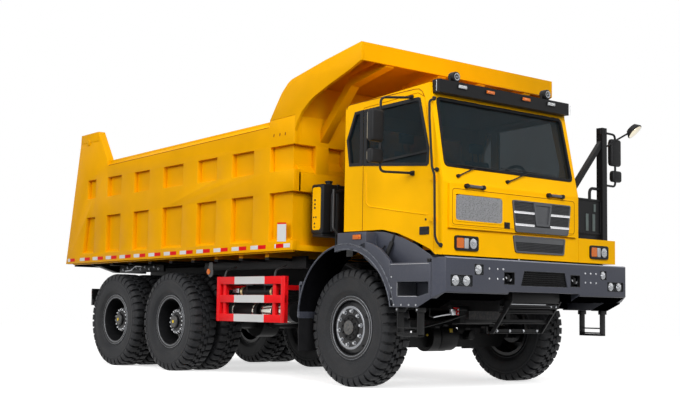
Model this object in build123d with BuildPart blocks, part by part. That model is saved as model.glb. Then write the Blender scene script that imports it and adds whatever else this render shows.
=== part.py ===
from build123d import *
import math
import os

# Off-road wide-body 6x4 dump truck. Millimetres, +X forward, +Y to the driver's left, +Z up.
# The origin is on the ground, in the middle of the truck's length and width.

os.makedirs("parts", exist_ok=True)

# Driving sizes of the chassis
front_axle_x = 2600.0
wheelbase = 3725.0
tandem_spacing = 1550.0
middle_axle_x = front_axle_x - wheelbase
rear_axle_x = middle_axle_x - tandem_spacing
bogie_x = (middle_axle_x + rear_axle_x) / 2

tyre_radius = 684.0
tyre_width = 383.0
rim_radius = 355.0
rim_width = 296.0
rim_wall = 22.0
hub_z = tyre_radius
front_track_half = 1341.5
twin_outer_y = 1471.0
twin_inner_y = 1031.0
turning_gap = 0.3
running_gap = 6.0

rail_outer_y = 455.0
rail_flange = 95.0
rail_wall = 16.0
rail_bottom_z = 900.0
rail_top_z = 1220.0
rail_front_x = 3960.0
rail_rear_x = -3900.0

half_width = 1650.0

# Bumper, arches and steps
bumper_front_x = 4220.0
bumper_back_x = 4075.0
bumper_top_z = 1470.0
bumper_nose_z = 1105.0
underside_x = 3910.0
underside_z = 945.0
bumper_wall = 40.0
tow_eye_y = 578.0
tow_eye_z = 1270.0
tow_bore_r = 28.0
tow_plate = 40.0
arch_x = 2655.0
arch_z = 790.0
arch_outer_r = 865.0
arch_inner_r = 830.0
arch_depth = 470.0
step_top_z = 1415.0

# Cab, set over to the driver's right
cab_right_y = -1500.0
cab_left_y = 800.0
cab_back_x = 2460.0
cab_front_x = 4095.0
cab_wall = 60.0
sheet = 40.0
belt_z = 2440.0
cowl_x = 4060.0
header_x = 3890.0
header_z = 3260.0
roof_rear_z = 3300.0
roof_front_z = 3400.0
roof_thick = 50.0
seam = 6.0
glass_thick = 6.0
glass_gap = 0.5
deck_top_z = 1790.0
deck_left_y = 1520.0

# Load body
bed_half = 1700.0
bed_wall = 110.0
bed_recess = 90.0
bed_front_x = 1730.0
bed_rear_x = -4190.0
bed_bottom_rear_z = 1539.0
bed_bottom_front_z = 1605.0
bed_floor_thick = 30.0
bed_floor_lift = 60.0
canopy_tip_x = 2956.0
tip_pivot_x = -3600.0
tip_pivot_z = 1330.0
tip_pin_r = 35.0
tip_max_deg = 45.0

# Hoist, two telescopic cylinders side by side under the load body
hoist_y = 190.0
hoist_base_x = -1970.0
hoist_foot = 150.0
hoist_base_z = 980.0
hoist_eye_x = -1000.0
hoist_eye_z = 1400.0
hoist_barrel_r = 85.0
hoist_stage_r = 68.0
hoist_rod_r = 52.0
hoist_gap = 0.3
hoist_pin_r = 30.0

right_and_left = (-1, 1)


def block(x0, x1, y0, y1, z0, z1, mode=Mode.ADD):
    # A box from its six limits
    with Locations(((x0 + x1) / 2, (y0 + y1) / 2, (z0 + z1) / 2)):
        Box(abs(x1 - x0), abs(y1 - y0), abs(z1 - z0), mode=mode)


def slab(plane, points, depth, mode=Mode.ADD):
    # A closed outline pushed out along its plane's normal
    with BuildSketch(plane) as outline:
        with BuildLine():
            Polyline(*points, close=True)
        make_face()
    extrude(outline.sketch, amount=depth, mode=mode)


def side_slab(points, y0, y1, mode=Mode.ADD):
    # An outline in (x, z), filling the width from y0 to y1
    low, high = sorted((y0, y1))
    slab(Plane.XZ.offset(-high), points, high - low, mode)


def front_slab(points, x0, x1, mode=Mode.ADD):
    # An outline in (y, z), filling the length from x0 to x1
    slab(Plane.YZ.offset(x0), points, x1 - x0, mode)


def plan_slab(points, z0, z1, mode=Mode.ADD):
    # An outline in (x, y), filling the height from z0 to z1
    slab(Plane.XY.offset(z0), points, z1 - z0, mode)


def bar_x(x0, x1, y, z, radius, mode=Mode.ADD):
    with Locations(Location(((x0 + x1) / 2, y, z), (0, 90, 0))):
        Cylinder(radius, abs(x1 - x0), mode=mode)


def bar_y(x, y0, y1, z, radius, mode=Mode.ADD):
    with Locations(Location((x, (y0 + y1) / 2, z), (90, 0, 0))):
        Cylinder(radius, abs(y1 - y0), mode=mode)


def bar_z(x, y, z0, z1, radius, mode=Mode.ADD):
    with Locations((x, y, (z0 + z1) / 2)):
        Cylinder(radius, abs(z1 - z0), mode=mode)


def spoke(start, end, radius, mode=Mode.ADD):
    # A round bar between two points
    first, last = Vector(*start), Vector(*end)
    with BuildSketch(Plane(origin=first, z_dir=last - first)) as section:
        Circle(radius)
    extrude(section.sketch, amount=(last - first).length, mode=mode)


def strut(start, end, wide, deep, mode=Mode.ADD):
    # A square-section bar between two points
    first, last = Vector(*start), Vector(*end)
    along = (last - first).normalized()
    across = Vector(0, 1, 0) if abs(along.Y) < 0.9 else Vector(1, 0, 0)
    with BuildSketch(Plane(origin=first, x_dir=across.cross(along), z_dir=along)) as section:
        Rectangle(deep, wide)
    extrude(section.sketch, amount=(last - first).length, mode=mode)


def pipe(points, radius, bend):
    # A bent tube through the given corners
    with BuildLine() as path:
        FilletPolyline(*points, radius=bend)
    with BuildSketch(Plane(origin=path.line @ 0, z_dir=path.line % 0)) as section:
        Circle(radius)
    sweep(section.sketch, path=path.line)


def turned(points, x, mode=Mode.ADD):
    # An outline in (y, radius) turned about a wheel's axle at x
    with BuildSketch(Plane.YZ) as outline:
        with BuildLine():
            Polyline(*points, close=True)
        make_face()
    ring = revolve(outline.sketch, axis=Axis.Y, mode=Mode.PRIVATE)
    add(ring.moved(Location((x, 0, hub_z))), mode=mode)


def finish(part, name):
    part.label = name
    export_step(part, "parts/" + name + ".step")
    print(name, len(part.solids()), round(part.volume / 1e6, 2), "litres")


# ---------------------------------------------------------------- wheels

def tyre_outline(centre_y):
    # Tread, shoulders, bulging side walls and beads, in (y, radius)
    half = tyre_width / 2
    bead = rim_width / 2 - rim_wall
    seat = rim_radius - 18.0
    side = [
        (bead, seat),
        (bead, rim_radius + 2),
        (half - 18, rim_radius + 60),
        (half, rim_radius + 150),
        (half - 6, tyre_radius - 62),
        (half - 24, tyre_radius - 16),
        (half - 52, tyre_radius),
    ]
    left = [(centre_y + y, r) for y, r in side]
    right = [(centre_y - y, r) for y, r in reversed(side)]
    return left + right


def rim_outline(centre_y, seat_gap=turning_gap):
    # Barrel with its two flanges, in (y, radius)
    half = rim_width / 2
    seat = rim_radius - 18.0 - seat_gap
    return [
        (centre_y - half, rim_radius),
        (centre_y - half + rim_wall - seat_gap, rim_radius),
        (centre_y - half + rim_wall - seat_gap, seat),
        (centre_y + half - rim_wall + seat_gap, seat),
        (centre_y + half - rim_wall + seat_gap, rim_radius),
        (centre_y + half, rim_radius),
        (centre_y + half, seat - 20),
        (centre_y - half, seat - 20),
    ]


hub_bore_r = 60.0
hub_r = 172.0
front_wheels = [("front_right", -1), ("front_left", 1)]
for wheel_name, side in front_wheels:
    centre = side * front_track_half
    with BuildPart() as tyre:
        turned(tyre_outline(centre), front_axle_x)
    finish(tyre.part, "tyre_" + wheel_name)

    disc_y = centre + side * 62.0
    with BuildPart() as rim:
        turned(rim_outline(centre), front_axle_x)
        turned([(disc_y, 0), (disc_y, 325), (disc_y + side * 18, 325), (disc_y + side * 34, 250),
                (disc_y + side * 34, 0)], front_axle_x)
        turned([(disc_y, 0), (disc_y, hub_r + 10), (disc_y + side * 78, hub_r), (disc_y + side * 86, hub_r - 10),
                (disc_y + side * 86, 90), (disc_y + side * 118, 78), (disc_y + side * 118, 0)], front_axle_x)
        turned([(disc_y, 0), (disc_y, 185), (disc_y - side * 105, 185), (disc_y - side * 105, 0)], front_axle_x)
        bar_y(front_axle_x, disc_y - side * 106, disc_y + side * 40, hub_z, hub_bore_r + turning_gap, Mode.SUBTRACT)
    finish(rim.part, "rim_" + wheel_name)

mate_y = (twin_outer_y + twin_inner_y) / 2
twin_wheels = [
    ("middle_right", -1, middle_axle_x),
    ("middle_left", 1, middle_axle_x),
    ("rear_right", -1, rear_axle_x),
    ("rear_left", 1, rear_axle_x),
]
for wheel_name, side, axle_x in twin_wheels:
    with BuildPart() as tyres:
        turned(tyre_outline(side * twin_outer_y), axle_x)
        turned(tyre_outline(side * twin_inner_y), axle_x)
    finish(tyres.part, "tyres_" + wheel_name)

    disc = side * mate_y
    with BuildPart() as rims:
        turned(rim_outline(side * twin_outer_y), axle_x)
        turned(rim_outline(side * twin_inner_y), axle_x)
        turned([(disc - 22, 0), (disc - 22, 220), (disc - 82, 322), (disc - 82, 337), (disc + 82, 337),
                (disc + 82, 322), (disc + 22, 220), (disc + 22, 0)], axle_x)
        turned([(disc, 0), (disc, hub_r), (disc + side * 60, hub_r), (disc + side * 75, 120), (disc + side * 165, 112),
                (disc + side * 175, 95), (disc + side * 175, 0)], axle_x)
        turned([(disc, 0), (disc, 150), (disc - side * 110, 150), (disc - side * 110, 215), (disc - side * 345, 215),
                (disc - side * 345, 0)], axle_x)
        bar_y(axle_x, disc - side * 346, disc + side * 120, hub_z, hub_bore_r + turning_gap, Mode.SUBTRACT)
    finish(rims.part, "rims_" + wheel_name)

# ---------------------------------------------------------------- axles and steering

kingpin_y = 1200.0
kingpin_r = 25.0
kingpin_boss_r = 52.0
beam_bottom_z = 450.0
beam_top_z = 610.0
housing_y = -145.0
with BuildPart() as front_axle:
    front_slab([(-1010, beam_bottom_z), (1010, beam_bottom_z), (1150, beam_top_z + 20), (1150, beam_top_z + 110),
                (1060, beam_top_z + 60), (960, beam_top_z), (-960, beam_top_z), (-1060, beam_top_z + 60),
                (-1150, beam_top_z + 110), (-1150, beam_top_z + 20)], front_axle_x - 60, front_axle_x + 60)
    bar_y(front_axle_x, housing_y - 160, housing_y + 160, beam_bottom_z + 120, 172)
    for side in right_and_left:
        block(front_axle_x - 45, front_axle_x + 45, side * 1130, side * kingpin_y, hub_z - 55, hub_z + 36)
        bar_z(front_axle_x, side * kingpin_y, hub_z - 55, hub_z + 36, kingpin_boss_r)
        bar_z(front_axle_x, side * kingpin_y, hub_z - 130, hub_z + 110, kingpin_r)
finish(front_axle.part, "front_axle")

knuckle_plate_y = kingpin_y + kingpin_boss_r + 8
for knuckle_name, side in (("knuckle_right", -1), ("knuckle_left", 1)):
    disc_y = side * (front_track_half + 62.0)
    with BuildPart() as knuckle:
        block(front_axle_x - 70, front_axle_x + 70, side * knuckle_plate_y, side * (knuckle_plate_y + 26),
              hub_z - 125, hub_z + 105)
        for low, high in ((hub_z - 125, hub_z - 60), (hub_z + 41, hub_z + 105)):
            block(front_axle_x - 48, front_axle_x + 48, side * kingpin_y, side * (knuckle_plate_y + 2), low, high)
            bar_z(front_axle_x, side * kingpin_y, low, high, 48)
            bar_z(front_axle_x, side * kingpin_y, low - 1, high + 1, kingpin_r + turning_gap, Mode.SUBTRACT)
        bar_y(front_axle_x, side * (knuckle_plate_y + 20), disc_y + side * 30, hub_z, hub_bore_r)
        # Steering arm, reaching back inside the wheel
        block(front_axle_x - 230, front_axle_x - 20, side * (knuckle_plate_y - 30), side * (knuckle_plate_y + 6),
              hub_z - 125, hub_z - 90)
    finish(knuckle.part, knuckle_name)

housing_r = 215.0
with BuildPart() as rear_axles:
    for axle_x in (middle_axle_x, rear_axle_x):
        bar_y(axle_x, -820, 820, hub_z, 92)
        bar_y(axle_x, -mate_y - 110, mate_y + 110, hub_z, hub_bore_r)
        for side in right_and_left:
            bar_y(axle_x, side * 790, side * 845, hub_z, 150)
        bar_y(axle_x, -150, 150, hub_z, housing_r)
        bar_x(axle_x - 250, axle_x + 250, 0, hub_z + 20, 105)
finish(rear_axles.part, "rear_axles")

# ---------------------------------------------------------------- frame

pivot_lug = 20.0
pivot_ear = 36.0
with BuildPart() as frame:
    for side in right_and_left:
        inner = rail_outer_y - rail_flange
        block(rail_rear_x, rail_front_x, side * inner, side * rail_outer_y, rail_bottom_z, rail_top_z)
        block(rail_rear_x - 1, rail_front_x + 1, side * (inner - 1), side * (rail_outer_y - rail_wall),
              rail_bottom_z + rail_wall, rail_top_z - rail_wall, Mode.SUBTRACT)
    for cross_x, cross_z in ((3890, 1060), (1650, 1060), (450, 1060), (-500, 1060), (hoist_base_x - hoist_foot, hoist_base_z),
                             (-2900, 1060), (-3830, 1060)):
        block(cross_x - 60, cross_x + 60, -rail_outer_y + rail_wall, rail_outer_y - rail_wall,
              cross_z - 70, cross_z + 70)
    # Rear lugs that hold the load body's pivot pin
    for side in right_and_left:
        for near in (372.0, 372.0 + pivot_lug + pivot_ear + 2):
            side_slab([(tip_pivot_x - 90, rail_top_z - 2), (tip_pivot_x + 90, rail_top_z - 2),
                       (tip_pivot_x + 50, tip_pivot_z + 55), (tip_pivot_x - 50, tip_pivot_z + 55)],
                      side * near, side * (near + pivot_lug))
        bar_y(tip_pivot_x, side * 372, side * (374 + 2 * pivot_lug + pivot_ear), tip_pivot_z, tip_pin_r)
    # Hoist feet
    for foot_y in (-hoist_y, hoist_y):
        for edge in (-1, 1):
            block(hoist_base_x - hoist_foot + 50, hoist_base_x, foot_y + edge * 60, foot_y + edge * 82,
                  hoist_base_z - 55, hoist_base_z + 55)
            bar_y(hoist_base_x, foot_y + edge * 60, foot_y + edge * 82, hoist_base_z, 55)
        bar_y(hoist_base_x, foot_y - 82, foot_y + 82, hoist_base_z, hoist_pin_r)
finish(frame.part, "frame")

with BuildPart() as engine_block:
    block(2150, 3350, -300, 300, 800, 1640)
    block(1720, 2151, -230, 230, 780, 1000)
    for mount_x in (2300, 3100):
        block(mount_x, mount_x + 80, -rail_outer_y + rail_wall, rail_outer_y - rail_wall, 950, 1010)
finish(engine_block.part, "engine_block")

# ---------------------------------------------------------------- springs and shafts

spring_front_y = 400.0
spring_rear_y = 620.0
with BuildPart() as springs:
    for side in right_and_left:
        for low, half_length in ((690, 330), (712, 470), (734, 610), (756, 740)):
            block(front_axle_x - half_length, front_axle_x + half_length, side * (spring_front_y - 38),
                  side * (spring_front_y + 38), low, low + 22.2)
        block(front_axle_x - 70, front_axle_x + 70, side * (spring_front_y - 45), side * (spring_front_y + 45),
              beam_top_z + 0.1, 691)
        for eye in (-740, 690):
            block(front_axle_x + eye, front_axle_x + eye + 50, side * (spring_front_y - 38),
                  side * (spring_front_y + 38), 777, rail_bottom_z)
        for low, half_length in ((790, 800), (818, 700), (846, 560), (874, 420), (902, 280)):
            block(bogie_x - half_length, bogie_x + half_length, side * (spring_rear_y - 48),
                  side * (spring_rear_y + 48), low, low + 28.2)
        block(bogie_x - 110, bogie_x + 110, side * rail_outer_y, side * (spring_rear_y + 60), 930, 1130)
        for end in (-1, 1):
            block(bogie_x + end * 715, bogie_x + end * 775, side * (spring_rear_y - 40),
                  side * (spring_rear_y + 40), hub_z + 92.1, 791)
finish(springs.part, "springs")

with BuildPart() as propshaft:
    spoke((1716, 0, 860), (middle_axle_x + 254, 0, hub_z + 20), 58)
    spoke((middle_axle_x - 250.3, 0, hub_z + 20), (rear_axle_x + 250.3, 0, hub_z + 20), 58)
finish(propshaft.part, "propshafts")

# ---------------------------------------------------------------- bumper, arches and steps

with BuildPart() as bumper:
    end_x = bumper_front_x - 120
    plan_slab([(bumper_front_x, -1570), (bumper_front_x, 1570), (end_x, half_width), (bumper_back_x, half_width),
               (bumper_back_x, -half_width), (end_x, -half_width)], underside_z, bumper_top_z)
    side_slab([(bumper_front_x + 1, underside_z - 1), (bumper_front_x + 1, bumper_nose_z),
               (bumper_back_x - 1, bumper_nose_z - 76), (bumper_back_x - 1, underside_z - 1)],
              -half_width - 1, half_width + 1, Mode.SUBTRACT)
    block(bumper_back_x - 1, bumper_front_x - bumper_wall, -1560, 1560, underside_z, bumper_top_z - bumper_wall,
          Mode.SUBTRACT)
    side_slab([(bumper_front_x - bumper_wall + 1, bumper_nose_z - 10), (bumper_front_x - bumper_wall + 1, bumper_nose_z + 30),
               (bumper_back_x, bumper_nose_z - 46), (bumper_back_x, bumper_nose_z - 76)], -1570, 1570)
    # Mesh opening and towing recesses
    front_slab([(-370, 1190), (450, 1190), (405, 1360), (-315, 1360)], bumper_front_x - 60, bumper_front_x + 1,
               Mode.SUBTRACT)
    for side in right_and_left:
        block(bumper_front_x - 60, bumper_front_x + 1, side * tow_eye_y - 88, side * tow_eye_y + 88, 1200, 1340,
              Mode.SUBTRACT)
finish(bumper.part, "bumper")

with BuildPart() as bumper_frame:
    for side in right_and_left:
        inner = rail_outer_y - rail_flange
        block(rail_front_x, bumper_front_x - bumper_wall, side * inner, side * rail_outer_y,
              1140, 1350)
        block(bumper_front_x - 120, bumper_front_x - bumper_wall, side * 360, side * 1500, 1140, 1190)
        block(bumper_front_x - 120, bumper_front_x - 90, side * (tow_eye_y - 100), side * (tow_eye_y + 100), 1140, 1400)
        side_slab([(bumper_front_x - 95, tow_eye_z - 55), (bumper_front_x - 45, tow_eye_z - 55),
                   (bumper_front_x - 5, tow_eye_z - 30), (bumper_front_x - 5, tow_eye_z + 30),
                   (bumper_front_x - 45, tow_eye_z + 55), (bumper_front_x - 95, tow_eye_z + 55)],
                  side * tow_eye_y - tow_plate / 2, side * tow_eye_y + tow_plate / 2)
        bar_y(bumper_front_x - 50, side * tow_eye_y - 30, side * tow_eye_y + 30, tow_eye_z, tow_bore_r, Mode.SUBTRACT)
finish(bumper_frame.part, "tow_frame")


def arch_band(outer, inner, y0, y1, start_deg, end_deg):
    # Part of a ring about the wheel arch's centre
    low, high = sorted((y0, y1))
    with BuildSketch(Plane.XZ.offset(-high)) as band:
        with BuildLine():
            CenterArc((arch_x, arch_z), outer, start_deg, end_deg - start_deg)
            CenterArc((arch_x, arch_z), inner, start_deg, end_deg - start_deg)
            for angle in (start_deg, end_deg):
                turn = math.radians(angle)
                Line((arch_x + inner * math.cos(turn), arch_z + inner * math.sin(turn)),
                     (arch_x + outer * math.cos(turn), arch_z + outer * math.sin(turn)))
        make_face()
    extrude(band.sketch, amount=high - low)


arch_front_deg = 10.5
with BuildPart() as fenders:
    for side in right_and_left:
        out = side * half_width
        wall_y = side * 1490.0
        side_slab([(3250, 1415), (3470, step_top_z), (bumper_back_x - seam, step_top_z), (bumper_back_x - seam, 1030),
                   (underside_x, underside_z), (3250, underside_z)], out, side * 1330)
        side_slab([(2800, 1500), (2800, 1780), (3130, 1775), (3390, 1725), (3650, 1615), (3880, 1498),
                   (3985, 1450), (bumper_back_x - seam, 1450), (bumper_back_x - seam, 1400), (3250, 1200)],
                  wall_y, side * 1470)
        block(2515, 3020, side * 1470, out, 1560, 1780)
        bar_y(arch_x, side * 1300, side * 1700, arch_z, arch_outer_r - 1, Mode.SUBTRACT)
        # Foot hole through the side step
        side_slab([(3560, 1020), (3560, 1210), (4030, 1210), (4030, 1085), (3960, 1020)], out + side, side * 1370,
                  Mode.SUBTRACT)
        arch_band(arch_outer_r, arch_inner_r, out, side * 1600, arch_front_deg, 180)
        arch_band(arch_outer_r, arch_inner_r + 18, side * 1610, side * (half_width - arch_depth), arch_front_deg, 180)
        # Stay from the frame
        block(1810, 1850, side * rail_outer_y, side * 1640, 1180, 1220)
        block(1800, 1812, side * 1190, side * 1640, 780, 1200)
finish(fenders.part, "fenders")

with BuildPart() as mudflaps:
    for side in right_and_left:
        block(1800, 1812, side * 1190, side * 1640, 390, 780)
finish(mudflaps.part, "mudflaps")

with BuildPart() as steps:
    for side in right_and_left:
        for leg_x in (3550, 3860):
            for near in (1596, 1400):
                block(leg_x, leg_x + 34, side * near, side * (near + 34), 605, underside_z)
        block(3550, 3894, side * 1630, side * 1560, 605, 640)
        block(3550, 3894, side * 1596, side * 1400, 605, 622)
    # Ladder under the middle of the bumper
    for near in (-420, 380):
        side_slab([(4080, 1025), (4130, 1025), (3990, 600), (3940, 600)], near, near + 24)
    for tread_x, tread_z in ((3965, 640), (4005, 760), (4045, 880), (4080, 985)):
        block(tread_x - 60, tread_x + 60, -400, 384, tread_z, tread_z + 26)
    block(3950, 4090, -390, -365, 992, 1015)
    block(3950, 4090, 365, 382, 992, 1015)
finish(steps.part, "steps")

# ---------------------------------------------------------------- tanks and side guards

guard_x = (-250.0, 1360.0)
guard_bars = (712.0, 960.0, 1200.0)
with BuildPart() as side_guards:
    for side in right_and_left:
        for low in guard_bars:
            block(guard_x[0], guard_x[1], side * 1490, side * 1450, low, low + 100)
        for post_x in (guard_x[0] + 330, guard_x[1] - 390):
            block(post_x, post_x + 60, side * 1450.5, side * 1400, 712, 1300)
            block(post_x, post_x + 60, side * rail_outer_y, side * 1400, 1130, 1190)
        for post_x in (guard_x[0], guard_x[1] - 60):
            block(post_x, post_x + 60, side * 1450.5, side * 1420, 712, 1300)
finish(side_guards.part, "side_guards")

with BuildPart() as air_tanks:
    for x0, x1 in ((-150, 480), (560, 1190)):
        bar_x(x0, x1, -1180, 850, 130)
        bar_x(x0, x1, -880, 850, 130)
        block((x0 + x1) / 2 - 30, (x0 + x1) / 2 + 30, -1300, -rail_outer_y, 985, 1020)
        block((x0 + x1) / 2 - 30, (x0 + x1) / 2 + 30, -1200, -860, 960, 990)
finish(air_tanks.part, "air_tanks")

with BuildPart() as fuel_tank:
    front_slab([(600, 640), (1300, 640), (1360, 700), (1360, 1040), (1300, 1100), (600, 1100)], -200, 1200)
    for x in (100, 900):
        block(x - 40, x + 40, rail_outer_y, 700, 1040, 1110)
    bar_z(900, 1200, 1099, 1124, 60)
finish(fuel_tank.part, "fuel_tank")

with BuildPart() as hydraulic_tank:
    block(2010, 2290, -1450, -520, 1700, 2350)
    bar_z(2150, -1290, 2349, 2400, 55)
    block(2030, 2270, -1430, -rail_outer_y + 60, 1670, 1701)
    block(2050, 2250, -rail_outer_y, -rail_outer_y + 60, rail_top_z, 1671)
finish(hydraulic_tank.part, "hydraulic_tank")

with BuildPart() as tail_bar:
    block(-3955, -3905, -1300, 1300, 1000, 1100)
    for side in right_and_left:
        block(-3980, -3955.1, side * 1100, side * 1290, 960, 1140)
        block(-3905, rail_rear_x, side * 380, side * rail_outer_y, 950, 1150)
        block(-3700, -3660, side * rail_outer_y, side * 1650, 1120, 1160)
        block(-3690, -3676, side * 860, side * 1650, 560, 1121)
    block(-4070, -3954, -tow_plate / 2, tow_plate / 2, 1000, 1100)
    bar_y(-4020, -tow_plate, tow_plate, 1050, tow_bore_r, Mode.SUBTRACT)
finish(tail_bar.part, "tail_bar")

# ---------------------------------------------------------------- deck and mirrors on the left

post_x, post_y = 3990.0, 1400.0
post_half = 46.0
notch_x = 3240.0
with BuildPart() as deck:
    plan_slab([(cab_back_x, cab_left_y + seam), (cab_front_x - 61, cab_left_y + seam), (cab_front_x - 61, deck_left_y),
               (notch_x, deck_left_y), (notch_x, 1464), (cab_back_x, 1464)], deck_top_z - 30, deck_top_z)
    block(cab_back_x, cab_back_x + 60, cab_left_y + seam, 1464, 1660, deck_top_z - 29)
    block(cab_back_x, cab_back_x + 60, rail_outer_y - 60, 900, rail_top_z, rail_top_z + 80)
    block(cab_back_x, cab_back_x + 60, 840, 900, rail_top_z, 1700)
finish(deck.part, "deck")

with BuildPart() as mirror_post:
    # Guard panel beside the cab, post, brace and hand hoop
    block(post_x - 20, post_x + 10, 885, post_y - post_half + 1, 1850, 2297)
    block(post_x - 20, post_x + 10, 885, 915, deck_top_z, 1851)
    block(post_x - post_half, post_x + post_half, post_y - post_half, post_y + post_half, deck_top_z, 3200)
    block(post_x - 30, post_x + 30, cab_left_y + turning_gap, cab_left_y + 70, 2370, 2460)
    strut((post_x, cab_left_y + 55, 2425), (post_x, post_y, 3040), 60, 60)
    pipe([(post_x - 5, 1160, 2280), (post_x - 5, 1160, 2430), (post_x - 5, 1380, 2430)], 19, 60)
finish(mirror_post.part, "mirror_post")

mirror_edge = 2030.0
with BuildPart() as mirrors_left:
    near = post_y + post_half + turning_gap
    for foot_z in (3150, 2490, 2960):
        block(post_x - 22, post_x + 22, near, near + 22, foot_z - 22, foot_z + 22)
    pipe([(post_x, near + 10, 3150), (post_x - 20, 1700, 3150), (post_x - 20, 1700, 2490), (post_x, near + 10, 2490)],
         14, 60)
    block(post_x - 60, post_x + 20, 1590, 1800, 2750, 3090)
    block(post_x - 60, post_x + 20, 1620, 1810, 2550, 2690)
    pipe([(post_x, near + 10, 2960), (post_x + 10, 1640, 3060), (post_x + 110, mirror_edge - 150, 3200)], 12, 60)
    spoke((post_x + 80, mirror_edge - 125, 3250), (post_x + 120, mirror_edge - 110, 3205), 110)
finish(mirrors_left.part, "mirrors_left")

# ---------------------------------------------------------------- cab shell

sill = [(cab_back_x, 1805), (3130, 1805), (3390, 1755), (3650, 1665), (3900, 1565), (3980, 1505),
        (cab_front_x - cab_wall, 1505)]
floor_thick = 30.0
inner_right_y = cab_right_y + cab_wall
inner_left_y = cab_left_y - cab_wall
roof_tip_x = header_x - 10.0


def roof_underside(x):
    return roof_rear_z - roof_thick + (x - cab_back_x) * (roof_front_z - roof_rear_z) / (roof_tip_x - cab_back_x)


with BuildPart() as cab_floor:
    top = [(x, z + floor_thick) for x, z in reversed(sill)]
    side_slab(sill + top, inner_right_y, inner_left_y)
    # Legs down to the frame
    for side in right_and_left:
        block(2540, 2640, side * (rail_outer_y - 75), side * (rail_outer_y - 5), rail_top_z, 1806)
        side_slab([(3880, 1130), (3949, 1130), (4028, 1400), (4028, 1506), (3985, 1506), (3985, 1420)],
                  side * 250, side * 340)
finish(cab_floor.part, "cab_floor")

flap_axis_x = cab_front_x + 15.0
flap_top_z = 2285.0
flap_hinge_y = (-1100.0, 400.0)
screen_hole = [(-1430, 2475), (725, 2475), (705, 3235), (-1410, 3235)]
with BuildPart() as cab_front:
    outer = [(cab_front_x, 1500), (cab_front_x, 2290), (cowl_x, belt_z), (header_x, header_z),
             (roof_tip_x, roof_underside(roof_tip_x))]
    inner_x = roof_tip_x - cab_wall
    inner = [(inner_x, roof_underside(inner_x))] + [(x - cab_wall, z) for x, z in reversed(outer[:-1])]
    side_slab(outer + inner, cab_right_y, cab_left_y)
    front_slab(screen_hole, header_x - 110, cab_front_x + 5, Mode.SUBTRACT)
    # Hinge pins of the front flap
    for hinge_y in flap_hinge_y:
        bar_y(flap_axis_x, hinge_y - 56, hinge_y + 56, flap_top_z, 6)
        for edge in (-1, 1):
            block(cab_front_x - 1, flap_axis_x + 8, hinge_y + edge * 41, hinge_y + edge * 57, flap_top_z - 8,
                  flap_top_z + 5)
    # Low panel beside the cab, in front of the deck
    block(cab_front_x - cab_wall, cab_front_x, cab_left_y + seam, deck_left_y, 1500, deck_top_z)
    block(cab_front_x - 395, cab_front_x - cab_wall + 1, deck_left_y - 30, deck_left_y, 1500,
          deck_top_z - 30 - turning_gap)
finish(cab_front.part, "cab_front")

with BuildPart() as cab_roof:
    side_slab([(cab_back_x, roof_underside(cab_back_x)), (roof_tip_x, roof_underside(roof_tip_x)),
               (roof_tip_x, roof_front_z), (2545, roof_rear_z + 5), (2490, roof_rear_z - 8),
               (cab_back_x, roof_rear_z - 35)], cab_right_y, cab_left_y)
finish(cab_roof.part, "cab_roof")

rear_window = (-1150.0, 450.0, 2500.0, 3080.0)
with BuildPart() as cab_back:
    block(cab_back_x, cab_back_x + sheet, inner_right_y, inner_left_y, 1835, roof_rear_z - roof_thick)
    block(cab_back_x - 1, cab_back_x + sheet + 1, *rear_window, Mode.SUBTRACT)
finish(cab_back.part, "cab_back")

door_back_x = 2790.0
door_front_x = 3955.0
door_top = [(door_front_x, 2450), (3795, 3246), (3690, 3300), (door_back_x, 3238)]
door_outline_right = [(door_back_x, 1805), (3130, 1805), (3390, 1755), (3650, 1665), (3900, 1565),
                      (door_front_x, 1524)] + door_top
door_outline_left = [(door_back_x, 1815), (door_front_x, 1815)] + door_top
door_hole = [(door_back_x - seam, 1400), (door_front_x + seam, 1400), (door_front_x + seam, 2452),
             (3795 + seam, 3252), (3692, 3307), (door_back_x - seam, 3245)]
left_door_hole = [(door_back_x - seam, 1809), (door_front_x + seam, 1809)] + door_hole[2:]
quarter_window = [(2510, 2890), (2645, 3190), (2735, 3195), (2735, 2588), (2560, 2596)]
wall_faces = [("right", cab_right_y, inner_right_y, door_hole), ("left", cab_left_y, inner_left_y, left_door_hole)]
hinge_x = door_front_x + 3.0
hinge_out = 16.0
hinge_pin_r = 8.0
hinge_heights = (1880.0, 2330.0)
with BuildPart() as cab_sides:
    for which, outer_y, inner_y, hole in wall_faces:
        out = 1 if outer_y > 0 else -1
        side_slab(sill + [(4035, 2290), (4000, belt_z), (3830, header_z), (3820, roof_underside(3820)),
                          (cab_back_x, roof_underside(cab_back_x))], outer_y, inner_y)
        side_slab(hole, outer_y + out, inner_y - out, Mode.SUBTRACT)
        side_slab(quarter_window, outer_y + out, inner_y - out, Mode.SUBTRACT)
        for height in hinge_heights:
            for low in (height - 32, height + 18):
                block(hinge_x - 8, hinge_x + 33, outer_y + out * 4, outer_y + out * (hinge_out + 10), low, low + 14)
            block(hinge_x + 17, hinge_x + 33, outer_y - out * 1, outer_y + out * (hinge_out + 10), height - 32,
                  height + 32)
            bar_z(hinge_x, outer_y + out * hinge_out, height - 31, height + 31, hinge_pin_r)
finish(cab_sides.part, "cab_sides")

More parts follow.
